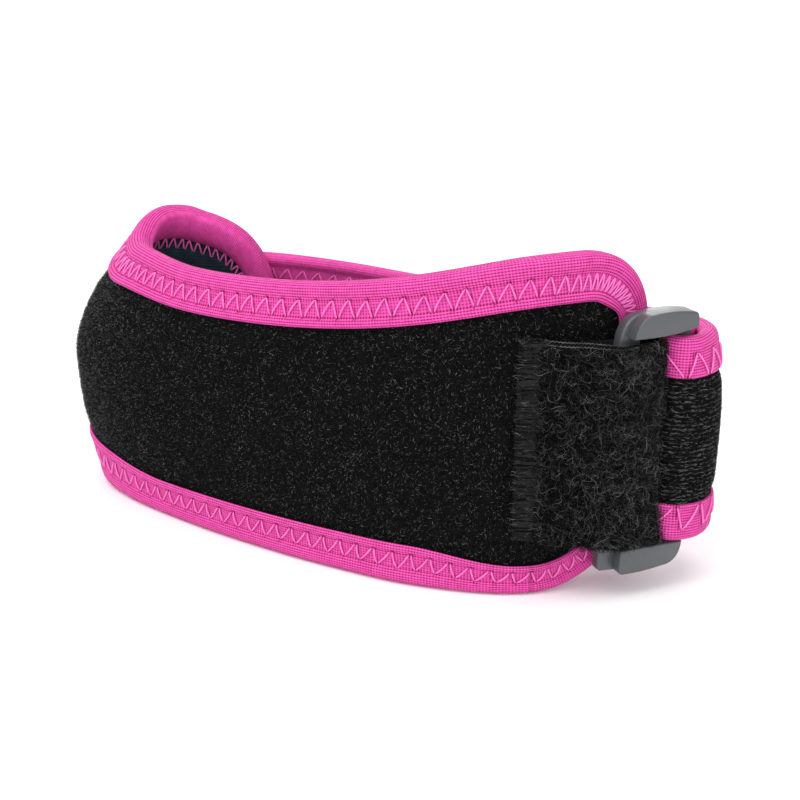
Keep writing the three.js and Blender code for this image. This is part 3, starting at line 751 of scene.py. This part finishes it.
# Ring: one moulded piece of satin grey plastic. A flat plate with a single slot, and at each end a
# thick block that stands forward of the two bars, with a wide round over the left bar.
RING_LENGTH = 19.5
RING_HEIGHT = 61
RING_MIDDLE = 35.7
RING_PLATE = 2.8
RING_ARCH = 1.1
ARCH_DROP = 0.2
ARCH_MIDDLE = 2
ARCH_STEPS = 10
RING_CORNER = 6
RING_FAR_CORNER = 1.3
RING_SOFT = 0.5
SLOT_HEIGHT = 50
LEFT_BAR = 5.5
RIGHT_BAR = 3.2
BLOCK_FORWARD = 2.8
BLOCK_SETBACK = 1.9
BLOCK_INSET = 0.2
BLOCK_ROUND = 4.8
BLOCK_ROUND_FULL = 0.8
BLOCK_SAG = 0.2
BLOCK_SAG_AT = 0.45
BLOCK_SOFT = 0.28
BLOCK_RISE = 1.5
FOOT_SETBACK = 3.6
FOOT_REACH = 1.2
FOOT_RISE = -0.2
FOOT_SHORTER = 0.7
FOOT_SHORTER_FROM = 0.8
RING_WIDE = 0.975
RING_NARROWS = 0.1
RING_SLANT = 0.4
RING_SET_IN = 0.73
RING_PAST_PANEL = -2.3
RING_STAND_OFF = 7.2
RING_TURN = math.radians(4)
RING_SHARP = math.radians(28)

PANEL_END = PANEL_PLAN["at"](np.array([0.0]))
RING_ALONG = -PANEL_END["along"][0]
RING_OUT = PANEL_END["outward"][0]
RING_CENTRE = np.array(PANEL_ROWS[0][:2]) + RING_ALONG * RING_PAST_PANEL + RING_OUT * RING_STAND_OFF


def by_ring(along, out):
    """A place seen from above in the ring's own directions."""
    return RING_CENTRE + RING_ALONG * along + RING_OUT * out


def turned(x, y, angle):
    """Places seen from above, turned about the origin."""
    return x * math.cos(angle) - y * math.sin(angle), x * math.sin(angle) + y * math.cos(angle)


def quadratic(start, middle, end, steps=8):
    t = np.linspace(0, 1, steps + 1)[1:, None]
    start, middle, end = (np.array(p, float) for p in (start, middle, end))
    return ((1 - t) ** 2 * start + 2 * t * (1 - t) * middle + t**2 * end).tolist()


def ring_arch(start, stop):
    """Points along the ring's slightly arched end, from one place across it to another."""
    x = np.linspace(start, stop, ARCH_STEPS + 1)
    y = RING_HEIGHT / 2 - ARCH_DROP - RING_ARCH * ((x - ARCH_MIDDLE) / (RING_LENGTH / 2)) ** 2
    return np.stack([x, y], axis=1).tolist()


def mesh_of(thing):
    """A thing's mesh with its curves and joins made real."""
    return bpy.data.meshes.new_from_object(thing.evaluated_get(bpy.context.evaluated_depsgraph_get()))


def moulded(name, outlines, depth, soft):
    """A flat moulding of the outlines in metres, with rounded edges all round."""
    curve = bpy.data.curves.new(name, "CURVE")
    curve.dimensions = "2D"
    curve.fill_mode = "BOTH"
    curve.extrude = (depth / 2 - soft) * MM
    curve.bevel_depth = soft * MM
    curve.bevel_resolution = 3
    curve.offset = -soft * MM
    for outline in outlines:
        spline = curve.splines.new("POLY")
        spline.points.add(len(outline) - 1)
        for point, (x, y) in zip(spline.points, outline):
            point.co = (x * MM, y * MM, 0, 1)
        spline.use_cyclic_u = True
    maker = set_out(name, curve)
    mesh = mesh_of(maker)
    bpy.data.objects.remove(maker)
    return mesh


def ring_plate():
    right, shoulder = RING_LENGTH / 2, RING_HEIGHT / 2 - RING_ARCH
    arch = ring_arch(right - RING_FAR_CORNER, -right + RING_CORNER)
    half = [(right, 0), (right, shoulder - RING_FAR_CORNER)]
    half += quadratic(half[-1], (right, arch[0][1]), arch[0])
    half += arch[1:]
    half += quadratic(half[-1], (-right, half[-1][1]), (-right, shoulder - RING_CORNER))
    outline = half + [(-x, -y) for x, y in half]
    left, far, high = -right + LEFT_BAR, right - RIGHT_BAR, SLOT_HEIGHT / 2
    slot = [(left, -high), (left, high), (far, high), (far, -high)]
    return moulded("ring_plate", [outline, slot], RING_PLATE, RING_SOFT)


def ring_block(side):
    """The top block is round at its left end. The foot block is the same turned half round, and longer."""
    half, low, rise = RING_LENGTH / 2, SLOT_HEIGHT / 2, BLOCK_RISE
    left, right = -half + BLOCK_SETBACK, half - BLOCK_INSET
    if side < 0:
        left, right = -half + BLOCK_INSET, half - FOOT_SETBACK
        low, rise = low - FOOT_REACH, FOOT_RISE
    shoulder = RING_HEIGHT / 2 - RING_ARCH
    arch = ring_arch(right - RING_FAR_CORNER, left + BLOCK_ROUND)
    outline = [(left, low)]
    outline += quadratic(outline[-1], (right * BLOCK_SAG_AT, low - BLOCK_SAG), (right, low + rise))
    outline += quadratic((right, shoulder - RING_FAR_CORNER), (right, arch[0][1]), arch[0])
    outline += arch[1:]
    outline += quadratic(outline[-1], (left + BLOCK_ROUND_FULL, outline[-1][1]), (left, low), steps=12)[:-1]
    depth = RING_PLATE / 2 + BLOCK_FORWARD
    mesh = moulded("ring_block", [[(side * x, side * y) for x, y in outline]], depth, BLOCK_SOFT)
    for vertex in mesh.vertices:
        vertex.co.z += depth / 2 * MM
    return mesh


def satin_plastic():
    return grained("satin_plastic", (0.054, 0.060, 0.064), (0.072, 0.079, 0.084), patch=0.01,
                   texture={"Scale": 2600.0, "Detail": 2.0}, relief=0.00003,
                   Roughness=0.3, Specular_IOR_Level=0.6)


def ring():
    whole = set_out("ring", ring_plate())
    blocks = [set_out("ring_block", ring_block(side)) for side in (-1, 1)]
    for block in blocks:
        join = whole.modifiers.new("join", "BOOLEAN")
        join.operation = "UNION"
        join.solver = "EXACT"
        join.object = block
    mesh = mesh_of(whole)
    for part in (whole, *blocks):
        bpy.data.objects.remove(part)
    local = np.empty(3 * len(mesh.vertices))
    mesh.vertices.foreach_get("co", local)
    local = local.reshape(-1, 3)
    up = local[:, 1] / (RING_HEIGHT / 2 * MM)
    local[:, 0] = local[:, 0] * (RING_WIDE - RING_NARROWS * up**3) + (RING_SLANT * up - RING_SET_IN) * MM
    local[:, 1] += FOOT_SHORTER * MM * smooth_step(FOOT_SHORTER_FROM, 1, -up)
    along, out = turned(local[:, :1], local[:, 2:], RING_TURN)
    flat = RING_CENTRE * MM + along * RING_ALONG + out * RING_OUT
    placed = np.column_stack([flat, local[:, 1] + RING_MIDDLE * MM])
    mesh.vertices.foreach_set("co", placed.ravel())
    mesh.materials.clear()
    mesh.materials.append(satin_plastic())
    mesh.polygons.foreach_set("use_smooth", np.ones(len(mesh.polygons), bool))
    mesh.set_sharp_from_angle(angle=RING_SHARP)
    mesh.update()
    piece = set_out("ring", mesh)
    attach(piece, "root")
    return piece


RING = ring()
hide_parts("ring_buckle")

# Back strap: a narrower padded strap of ribbed black knit, sewn on the outside of the panel's left
# end. It runs along the back and round the right side, and folds round the ring's right bar.
STRAP_LOW = 12.4
STRAP_HIGH = 60
STRAP_HALF_EDGE = 0.9
STRAP_SWELL = 0.6
STRAP_CROWN = 4
STRAP_COVER_OUTSIDE = 9
STRAP_COVER_INSIDE = 7
STRAP_RIB = 1.05
STRAP_RIB_HEIGHT = 0.16
STRAP_COLUMNS = ("x", "y", "lean_top", "lean_foot")
STRAP_ROWS = [
    (-61.5, 26.05, 4, 1),
    (-37.5, 28.85, 3.5, 1),
    (-17.5, 27.8, 2, 1),
    (11.5, 23.3, 1, 1),
    (40.5, 20.5, 1.5, 1.5),
    (61.5, 19.8, 2, 1.5),
    (74.4, 18.1, 2.4, 0.8),
    (82.5, 13.8, 3.0, 0.8),
    (86.1, 7.5, 3.2, 0.6),
]
TO_BAR_LEANS = (2.6, 0.3)
AT_BAR_LEANS = (0.6, 0)
BAR_CLEAR = 0.45
STRAP_HALF_BOUND = 2.0
STRAP_RETURN = (15, 19, 23)
STRAP_LAYER = 4.3
STRAP_CLIMB = 1.4
STRAP_CLIMB_ALONG = (15, 85)
PRESSED_SHARE = 0.15
PRESSED_LENGTH = 2.6
STRAP_END = 3
STRAP_END_STEPS = 7
STRAP_FOLD = 40
STRAP_FOLD_STEPS = 42
STRAP_BEND_STEPS = 6
STRAP_STEP = 2.0
STRAP_LAYERS = 133
STRAP_FIBRES = 22000
STRAP_BARE = 21
FIBRES_ON_RIB = 0.55


def strap_plan():
    bend = math.hypot(RIGHT_BAR / 2, RING_PLATE / 2 - RING_SOFT) + BAR_CLEAR + STRAP_HALF_BOUND
    bar = RING_LENGTH / 2 - RIGHT_BAR / 2
    to_bar = [(*by_ring(bar + bend, bend), *TO_BAR_LEANS), (*by_ring(bar, bend), *AT_BAR_LEANS)]
    outer = plan_line(STRAP_COLUMNS, STRAP_ROWS + to_bar)
    turns = np.linspace(0, math.pi, STRAP_BEND_STEPS)[1:]
    fold = [(*by_ring(bar - bend * math.sin(turn), bend * math.cos(turn)), 0, 0) for turn in turns]
    here = outer["at"](outer["length"] - np.array(STRAP_RETURN, float))
    back = [
        (x - STRAP_LAYER * out_x, y - STRAP_LAYER * out_y, -lean, -lean)
        for x, y, (out_x, out_y), lean in zip(here["x"], here["y"], here["outward"], here["lean_top"])
    ]
    return plan_line(STRAP_COLUMNS, STRAP_ROWS + to_bar + fold + back)


def strap_rise(s):
    """The strap climbs a little along the back, to where it is sewn on."""
    return STRAP_CLIMB * (1 - smooth_step(*STRAP_CLIMB_ALONG, s))


STRAP_PLAN = strap_plan()
STRAP_WALL = {
    "plan": STRAP_PLAN,
    "middle": (STRAP_LOW + STRAP_HIGH) / 2,
    "half": (STRAP_HIGH - STRAP_LOW) / 2,
    "rise": strap_rise,
}
STRAP_LENGTH = STRAP_PLAN["length"]


def pressed_end(s):
    """Share of its full thickness that the strap has: both of its ends are sewn down flat."""
    past_end = np.minimum(s, STRAP_LENGTH - s)
    return PRESSED_SHARE + (1 - PRESSED_SHARE) * smooth_step(0, PRESSED_LENGTH, past_end)


def strap_side(s, z, cover, rib_height):
    """Half thickness of the strap on one side: thin under its binding, then crowned and ribbed."""
    inward = np.minimum(z - STRAP_LOW, STRAP_HIGH - z)
    swell = STRAP_SWELL * smooth_step(cover, cover + STRAP_CROWN, inward)
    rib = rib_height * np.abs(np.sin(math.pi * z / STRAP_RIB)) * (inward > cover)
    return (STRAP_HALF_EDGE + swell + rib) * pressed_end(s)


def strap_out(s, z):
    return strap_side(s, z, STRAP_COVER_OUTSIDE, STRAP_RIB_HEIGHT)


def strap_in(s, z):
    return strap_side(s, z, STRAP_COVER_INSIDE, 0)


def strap_body():
    ends = np.linspace(0, STRAP_END, STRAP_END_STEPS)
    middle = np.arange(STRAP_END + 1, STRAP_LENGTH - STRAP_FOLD, STRAP_STEP)
    fold = np.linspace(STRAP_LENGTH - STRAP_FOLD, STRAP_LENGTH - STRAP_END, STRAP_FOLD_STEPS)
    s = np.concatenate([ends, middle, fold, STRAP_LENGTH - ends[-2::-1]])
    low, high = STRAP_LOW + PANEL_INSET + 0 * s, STRAP_HIGH - PANEL_INSET + 0 * s
    return padded_body("strap_body", STRAP_WALL, s, low, high, STRAP_LAYERS, strap_out, strap_in,
                       [pile_ground(), lining_knit()])


def strap_pile():
    draw = np.random.default_rng(31)
    s = draw.uniform(0, STRAP_LENGTH - STRAP_BARE, STRAP_FIBRES)
    z = draw.uniform(STRAP_LOW + STRAP_COVER_OUTSIDE, STRAP_HIGH - STRAP_COVER_OUTSIDE, STRAP_FIBRES)
    rib = STRAP_RIB * (np.floor(z / STRAP_RIB) + 0.5 + FIBRES_ON_RIB * (z / STRAP_RIB % 1 - 0.5))
    ground = surface_frame(STRAP_WALL, s, rib, strap_out(s, rib))
    # Pale fibres are painted glints; on the strap more of them are pale than on the panel.
    fibre = pile_fibre("strap_fibre", (0.007, 0.007, 0.0072), (0.17, 0.17, 0.171), 0.45)
    return fibre_field("strap_pile", ground, draw, length=(0.8, 1.9), lift=(0.1, 0.35), width=(0.08, 0.14),
                       curl=0.15, segments=2, material=fibre, pale=1.6, level=0.4)


STRAP = strap_body()
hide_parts("back_strap")
strap_pile()

# Strap bindings: the same pink knit tape, folded over the strap's two long edges and sewn with a
# zigzag whose feet reach the tape's lip. One more zigzag across the strap's left end sews it on.
STRAP_BINDING_HALF_EDGE = 1.22
STRAP_STITCH = (5.2, 3.4, 8.6)
STRAP_STITCH_PITCH, STRAP_STITCH_TOP, STRAP_STITCH_FOOT = STRAP_STITCH
STRAP_STITCH_PULL = 0.7
STRAP_KNIT_CLOSER = 1.5
STRAP_SEAM_ROWS = [
    ("outside", 1, STRAP_STITCH_TOP, STRAP_STITCH_FOOT, 0.85),
    ("inside", -1, 3.6, 6.9, 0.45),
]
END_SEAM_FROM_EDGE = 0.8
END_SEAM_ON_TAPE = 0.6
END_SEAM_STEP = 0.3


def strap_section():
    """Rows of (inward, out), from the lip on the knit round the edge to the lining and back under."""
    k, j, e = STRAP_COVER_OUTSIDE, STRAP_COVER_INSIDE, STRAP_BINDING_HALF_EDGE
    outside = [
        (k, e), (k + 0.15, e + 0.35), (k - 0.3, e + 0.65), (k - 2.5, e + 0.7), (k - 5, e + 0.8),
        (2.4, e + 0.9), (1.1, e + 0.7), (0.25, e), (0, e * 0.45), (0, -e * 0.45),
    ]
    turned_in = [
        (0, -e * 0.45), (0.25, -e), (1, -e - 0.75), (2, -e - 0.85), (2.8, -e - 0.5), (3.4, -e - 0.35),
    ]
    inside = [(3.4, -e - 0.35), (j - 0.1, -e - 0.35), (j, -e)]
    under = [(j - 1, -e + 0.02), (2, -e + 0.02), (1.3, 0), (2, e - 0.02), (k - 1, e - 0.02)]
    return folded_section([(outside, 1), (turned_in, 0.4), (inside, 0)], under)


for name, edge, upward in (("strap_binding_top", STRAP_HIGH, 1), ("strap_binding_bottom", STRAP_LOW, -1)):

    def strap_place(q, inward, out):
        return wall_points(STRAP_WALL, q, edge - upward * inward, out * pressed_end(q))

    at = np.arange(0, STRAP_LENGTH + 0.01, CLOTH_STEP)
    cloth = binding_cloth(
        name + "_cloth", strap_section(), STRAP_BINDING_HALF_EDGE, strap_place, at, at, STRAP_STITCH,
        pull=STRAP_STITCH_PULL, closer=STRAP_KNIT_CLOSER, flipped=upward > 0)
    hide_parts(name)
    seams = binding_seams(name, strap_place, STRAP_LENGTH, STRAP_STITCH_PITCH, STRAP_BINDING_HALF_EDGE,
                          STRAP_SEAM_ROWS)


def strap_end_place(q, inward, out):
    """A place on the strap's sewn end: q up it, inward from the end, and out from its surface."""
    z = STRAP_LOW + END_SEAM_FROM_EDGE + q
    in_edge = np.minimum(z - STRAP_LOW, STRAP_HIGH - z)
    bound = 1 - smooth_step(STRAP_COVER_OUTSIDE - END_SEAM_STEP, STRAP_COVER_OUTSIDE + END_SEAM_STEP, in_edge)
    knit_out = strap_out(inward, z)
    under = knit_out + bound * (STRAP_BINDING_HALF_EDGE + END_SEAM_ON_TAPE - knit_out)
    return wall_points(STRAP_WALL, inward, z, under * pressed_end(inward) + out)


zigzag("strap_end_zigzag", strap_end_place, STRAP_HIGH - STRAP_LOW - 2 * END_SEAM_FROM_EDGE,
       pitch=3.2, top=2.4, foot=5.6, out=0.2)

# Hook tab: a length of black tape with long curly pile. Its root is sewn on the panel's right end,
# it goes under the ring's left bar, up through the slot, and folds back over the bar onto the panel.
# Its free end is closed with black satin stitch.
TAB_THICK = 2.4
TAB_HEIGHT = 48
TAB_LOW = 11.6
TAB_TOP = TAB_LOW + TAB_HEIGHT
TAB_GAP = 0.3
TAB_ROOT = 22
TAB_ROOT_LAP = 4
TAB_BULGE = 0.6
TAB_SLACK = 2.6
TAB_REACH = 30.8
TAB_END_LAP = 3
TAB_END_LIFT = 0.15
PANEL_UNDER_TAB = 2.3
TAB_FLARE = 4.0
TAB_BEND_STEPS = 5
TAB_STEP = 0.7
TAB_LAYERS = 60
TAB_TAPE_OUT = 0.35
TAB_TAPE_IN = 0.9
TAB_EDGE_OUT = -0.15
TAB_EDGE_IN = 0.35
TAB_EDGE = 0.9
TAB_DRAWN_UP = 0.9
TAB_ASKEW = 1.2
# Shares of the tape's length, from its root, over which it changes.
DRAWN_UP_ALONG = (0.6, 0.9)
ASKEW_ALONG = (0.55, 0.95)
BARE_ALONG = (0.55, 0.8)
DARKER_ALONG = (0.6, 0.85)
TAB_PILE_FROM = 0.33
SELVEDGE_FROM = 0.6
# The pile: dense curls with longer hairs over them, and fuzz on the satin stitch. Its pale fibres are painted
# glints, fewer towards the free end.
TAB_PILE_CLEAR = 0.2
TAB_PILE_DEPTH = 0.6
TAB_BARE = 1.3
TAB_BARE_EDGE = 0.4
TAB_PALE = 0.9
TAB_DARKER = 0.5
# Columns: name, seed, count, length, lift, width, curl, segments, pale.
TAB_PILES = [
    ("tab_pile", 41, 21000, (1.2, 3.0), (0.3, 1.0), (0.07, 0.12), 0.45, 4, 10.0),
    ("tab_hairs", 42, 2600, (2.2, 4.6), (0.8, 1.7), (0.06, 0.1), 0.4, 6, 3.2),
]
TAB_SATIN = 6.4
PILE_OVER_SATIN = 1.2
SATIN_FUZZ = 2200
FUZZ_LAP = 0.5
FUZZ_OUT = (0.1, 0.45)
SATIN_PITCH = 0.3
SATIN_FROM_FOOT = 0.5
SATIN_FROM_TOP = 0.3
SATIN_FROM_END = 0.1
SATIN_POINTS = 7
SATIN_RADIUS = 0.18
SATIN_HIGH = 0.45
SATIN_FULL = 0.35
SATIN_SUNK = 0.1
# How uneven the satin stitches are where they start and end, and in slant, height and tone.
SATIN_STARTS = (-0.9, 0.9)
SATIN_ENDS = (0, 0.5)
SATIN_SLANTS = (-0.7, 0.4)
SATIN_HIGHER = (0, 0.2)
SATIN_TONES = (0.1, 0.8)
SELVEDGE_POINTS = 110
SELVEDGE_SIDES = 6
SELVEDGE_LAP = 0.5
SELVEDGE_DOWN = (0.05, 0.85)
SELVEDGE_OUT = (-0.3, 0.06)
SELVEDGE_RADIUS = 0.1
SELVEDGE_WAVE = 0.1
SELVEDGE_WAVES = 7.5


def tab_plan():
    half = TAB_THICK / 2
    on_panel = PANEL_UNDER_TAB + TAB_GAP + half
    over_root = on_panel + TAB_THICK + TAB_GAP
    bend = RING_PLATE / 2 + TAB_GAP + half
    bar_left = -RING_LENGTH / 2
    fold_middle = bar_left + LEFT_BAR + TAB_SLACK

    def beside(s, out):
        here = PANEL_PLAN["at"](np.array([float(s)]))
        return here["x"][0] + here["outward"][0, 0] * out, here["y"][0] + here["outward"][0, 1] * out, 0, 0

    fold = []
    for turn in np.linspace(0, math.pi, TAB_BEND_STEPS):
        place = by_ring(fold_middle + bend * math.sin(turn), -bend * math.cos(turn))
        fold.append((*place, 0, -TAB_FLARE * math.sin(turn)))
    return plan_line(STRAP_COLUMNS, [
        beside(TAB_ROOT, on_panel),
        beside(TAB_ROOT - TAB_ROOT_LAP, on_panel),
        (*by_ring(bar_left, -bend), 0, 0),
        *fold,
        (*by_ring(bar_left, bend), 0, 0),
        beside(TAB_ROOT - TAB_ROOT_LAP, over_root + TAB_BULGE),
        beside(TAB_ROOT, over_root),
        beside(TAB_REACH - TAB_END_LAP, on_panel + TAB_END_LIFT),
        beside(TAB_REACH, on_panel),
    ])


def tab_rise(s):
    """The tape is stuck down a little askew, with its free end higher."""
    return TAB_ASKEW * smooth_step(*ASKEW_ALONG, s / TAB_LENGTH)


def tab_low(s):
    """The tape's lower edge, drawn up where it goes through the ring and at its free end."""
    return TAB_LOW + TAB_DRAWN_UP * (1 + smooth_step(*DRAWN_UP_ALONG, s / TAB_LENGTH))


TAB_PLAN = tab_plan()
TAB_WALL = {"plan": TAB_PLAN, "middle": TAB_LOW + TAB_HEIGHT / 2, "half": TAB_HEIGHT / 2, "rise": tab_rise}
TAB_LENGTH = TAB_PLAN["length"]


def tab_place(s, z, out):
    return wall_points(TAB_WALL, s, z, out)


def black_tape():
    return grained("black_tape", (0.002, 0.002, 0.0021), (0.006, 0.006, 0.0062), patch=0.001,
                   texture={"Scale": 420.0, "Distortion": 0.6}, relief=0.0001, bands="Z",
                   Roughness=0.9, Specular_IOR_Level=0.1)


def tab_face(at_edge, full):
    """How far one face of the tape stands from its middle layer, less at its two edges."""
    return lambda s, z: at_edge + (full - at_edge) * smooth_step(
        0, TAB_EDGE, np.minimum(z - tab_low(s), TAB_TOP - z))


def tab_tape():
    s = np.arange(0, TAB_LENGTH + 0.01, TAB_STEP)
    tape = black_tape()
    return padded_body(
        "tab_tape", TAB_WALL, s, tab_low(s), TAB_TOP + 0 * s, TAB_LAYERS,
        tab_face(TAB_EDGE_OUT, TAB_TAPE_OUT), tab_face(TAB_EDGE_IN, TAB_TAPE_IN), [tape, tape])


def tab_pile(name, seed, count, length, lift, width, curl, segments, pale):
    draw = np.random.default_rng(seed)
    s = draw.uniform(TAB_LENGTH * TAB_PILE_FROM, TAB_LENGTH - TAB_SATIN + PILE_OVER_SATIN, count)
    low = tab_low(s) + TAB_PILE_CLEAR
    bare = TAB_BARE_EDGE + TAB_BARE * smooth_step(*BARE_ALONG, s / TAB_LENGTH)
    z = low + (TAB_TOP - bare - low) * draw.uniform(0, 1, count)
    ground = surface_frame(TAB_WALL, s, z, TAB_TAPE_OUT + draw.uniform(0, TAB_PILE_DEPTH, count))
    darker = pale * (TAB_PALE + TAB_DARKER * smooth_step(*DARKER_ALONG, s / TAB_LENGTH))
    return fibre_field(name, ground, draw, length, lift, width, curl, segments, TAB_FIBRE, darker)


def tab_satin_fuzz():
    draw = np.random.default_rng(44)
    s = TAB_LENGTH - draw.uniform(SATIN_FROM_END, TAB_SATIN + FUZZ_LAP, SATIN_FUZZ)
    z = draw.uniform(tab_low(s) + TAB_PILE_CLEAR, TAB_TOP + FUZZ_LAP)
    ground = surface_frame(TAB_WALL, s, z, TAB_TAPE_OUT + draw.uniform(*FUZZ_OUT, SATIN_FUZZ))
    return fibre_field("tab_satin_fuzz", ground, draw, length=(1.0, 2.6), lift=(0.1, 0.6), width=(0.08, 0.14),
                       curl=0.2, segments=3, material=TAB_FIBRE, pale=4.0, level=0.35)


def tab_satin_end():
    """Close stitches side by side over the free end, each a little longer, higher or paler than the next."""
    draw = np.random.default_rng(43)
    z = np.arange(tab_low(TAB_LENGTH) + SATIN_FROM_FOOT, TAB_TOP - SATIN_FROM_TOP, SATIN_PITCH)[:, None]
    t = np.linspace(0, 1, SATIN_POINTS)[None, :]

    def uneven(low, high):
        return draw.uniform(low, high, len(z))[:, None]

    start = TAB_LENGTH - TAB_SATIN + uneven(*SATIN_STARTS)
    s = start + (TAB_LENGTH - SATIN_FROM_END - uneven(*SATIN_ENDS) - start) * t
    slant = z + uneven(*SATIN_SLANTS) * t
    arch = (SATIN_HIGH + uneven(*SATIN_HIGHER)) * np.sin(math.pi * t) ** SATIN_FULL
    paths = thread_paths(tab_place, s, slant, TAB_TAPE_OUT - SATIN_SUNK + arch)
    satin = pile_fibre("black_thread", (0.002, 0.002, 0.0021), (0.027, 0.027, 0.0274), 0.5)
    return tubes("tab_satin_end", *paths, SATIN_RADIUS, THREAD_SIDES, satin, tone=uneven(*SATIN_TONES))


def tab_selvedge():
    """Two corded threads along the tape's upper edge."""
    stop = TAB_LENGTH - TAB_SATIN + SELVEDGE_LAP
    s = np.linspace(TAB_LENGTH * SELVEDGE_FROM, stop, SELVEDGE_POINTS)[None, :] + np.zeros((2, 1))
    out = TAB_TAPE_OUT + np.array(SELVEDGE_OUT)[:, None]
    z = TAB_TOP - np.array(SELVEDGE_DOWN)[:, None] + SELVEDGE_WAVE * np.sin(s * SELVEDGE_WAVES)
    yarn = thread("selvedge_thread", (0.003, 0.003, 0.0032), (0.13, 0.13, 0.132), 0.4)
    return tubes("tab_selvedge", *thread_paths(tab_place, s, z, out), SELVEDGE_RADIUS, SELVEDGE_SIDES, yarn)


TAB = tab_tape()
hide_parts("hook_tab")
# Pale tab fibres are painted glints.
TAB_FIBRE = pile_fibre("tab_fibre", (0.0006, 0.0006, 0.00062), (0.15, 0.15, 0.151), 0.6)
for row in TAB_PILES:
    tab_pile(*row)
for part in (tab_satin_end(), tab_satin_fuzz(), tab_selvedge()):
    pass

# Floor: a plain pale sweep that the strap stands on, which curves up far behind it.
# It is turned to lie square to the view. Sizes from here on are in metres.
VIEW_AZIMUTH = math.radians(27)
FLOOR_BEHIND = 1.6
FLOOR_WIDE = 6
SWEEP_RADIUS = 0.5
SWEEP_HEIGHT = 3.2


def floor():
    turn = np.linspace(0, math.pi / 2, 16)
    y = FLOOR_BEHIND - SWEEP_RADIUS + SWEEP_RADIUS * np.sin(turn)
    y = np.concatenate([[-FLOOR_WIDE], y, [FLOOR_BEHIND]])
    z = np.concatenate([[0], SWEEP_RADIUS * (1 - np.cos(turn)), [SWEEP_HEIGHT]])
    profile = np.stack([0 * y, y, z], axis=1)
    points = np.stack([profile - [FLOOR_WIDE, 0, 0], profile + [FLOOR_WIDE, 0, 0]], axis=1)
    points[..., 0], points[..., 1] = turned(points[..., 0], points[..., 1], VIEW_AZIMUTH)
    mesh = bpy.data.meshes.new("floor")
    mesh.from_pydata(points.reshape(-1, 3).tolist(), [], grid_faces(len(profile), 2).tolist())
    mesh.polygons.foreach_set("use_smooth", np.ones(len(mesh.polygons), bool))
    material, tree, shader = finish_nodes("pale_floor", Roughness=0.9)
    mottled(tree, shader, (0.93, 0.93, 0.932), (0.95, 0.95, 0.952), 0.3)
    mesh.materials.append(material)
    set_out("floor", mesh)


floor()

# Light: a bright even room, with a broad soft key from the upper left of the view, a weaker fill from
# the right, a low light in front, a large one overhead and a low one behind.
ROOM_BRIGHTNESS = 0.7
# Columns: name, place, height of the point it aims at, size, power in watts.
LIGHTS = [
    ("key", (-0.75, -1.05, 1.75), 0.03, 1.0, 12.5),
    ("fill", (1.3, -1.2, 0.9), 0.03, 1.0, 5.5),
    ("front", (0.6, -1.2, 0.62), 0.04, 1.0, 4.2),
    ("overhead", (0.05, -0.25, 1.6), 0.03, 1.4, 13),
    ("back", (-0.6, 1.15, 0.5), 0.05, 0.9, 4),
]

world = bpy.data.worlds.new("studio")
world.use_nodes = True
world.node_tree.nodes["Background"].inputs["Color"].default_value = (1, 1, 1, 1)
world.node_tree.nodes["Background"].inputs["Strength"].default_value = ROOM_BRIGHTNESS
bpy.context.scene.world = world
bpy.context.scene.view_settings.view_transform = "Standard"
for name, place, aim_height, size, power in LIGHTS:
    lamp = bpy.data.lights.new(name, "AREA")
    lamp.size = size
    lamp.energy = power
    light = set_out(name, lamp)
    light.location = place
    heading = np.array((0, 0, aim_height)) - np.array(place)
    yaw = math.atan2(heading[1], heading[0])
    dip = math.atan2(heading[2], math.hypot(heading[0], heading[1]))
    light.rotation_euler = (math.pi / 2 + dip, 0, yaw - math.pi / 2)
    light.visible_camera = False

# Camera: at the photograph's height and side, level, with its lens in the 800 pixel frame.
# It looks at a point a little right of the strap's middle.
VIEW_ELEVATION = math.radians(19)
VIEW_DISTANCE = 0.262
VIEW_TARGET = np.array([0.0165, -0.0112, 0.038])
PHOTO_FOCAL = 1100
PHOTO_WIDTH = 800

lens = bpy.data.cameras.new("view")
lens.sensor_width = 36
lens.lens = PHOTO_FOCAL / PHOTO_WIDTH * lens.sensor_width
lens.clip_start = 0.01
camera = set_out("view", lens)
back = np.array([
    math.sin(VIEW_AZIMUTH) * math.cos(VIEW_ELEVATION),
    -math.cos(VIEW_AZIMUTH) * math.cos(VIEW_ELEVATION),
    math.sin(VIEW_ELEVATION),
])
camera.location = VIEW_TARGET + back * VIEW_DISTANCE
camera.rotation_euler = (math.pi / 2 - VIEW_ELEVATION, 0, VIEW_AZIMUTH)
bpy.context.scene.camera = camera

bpy.context.view_layer.update()
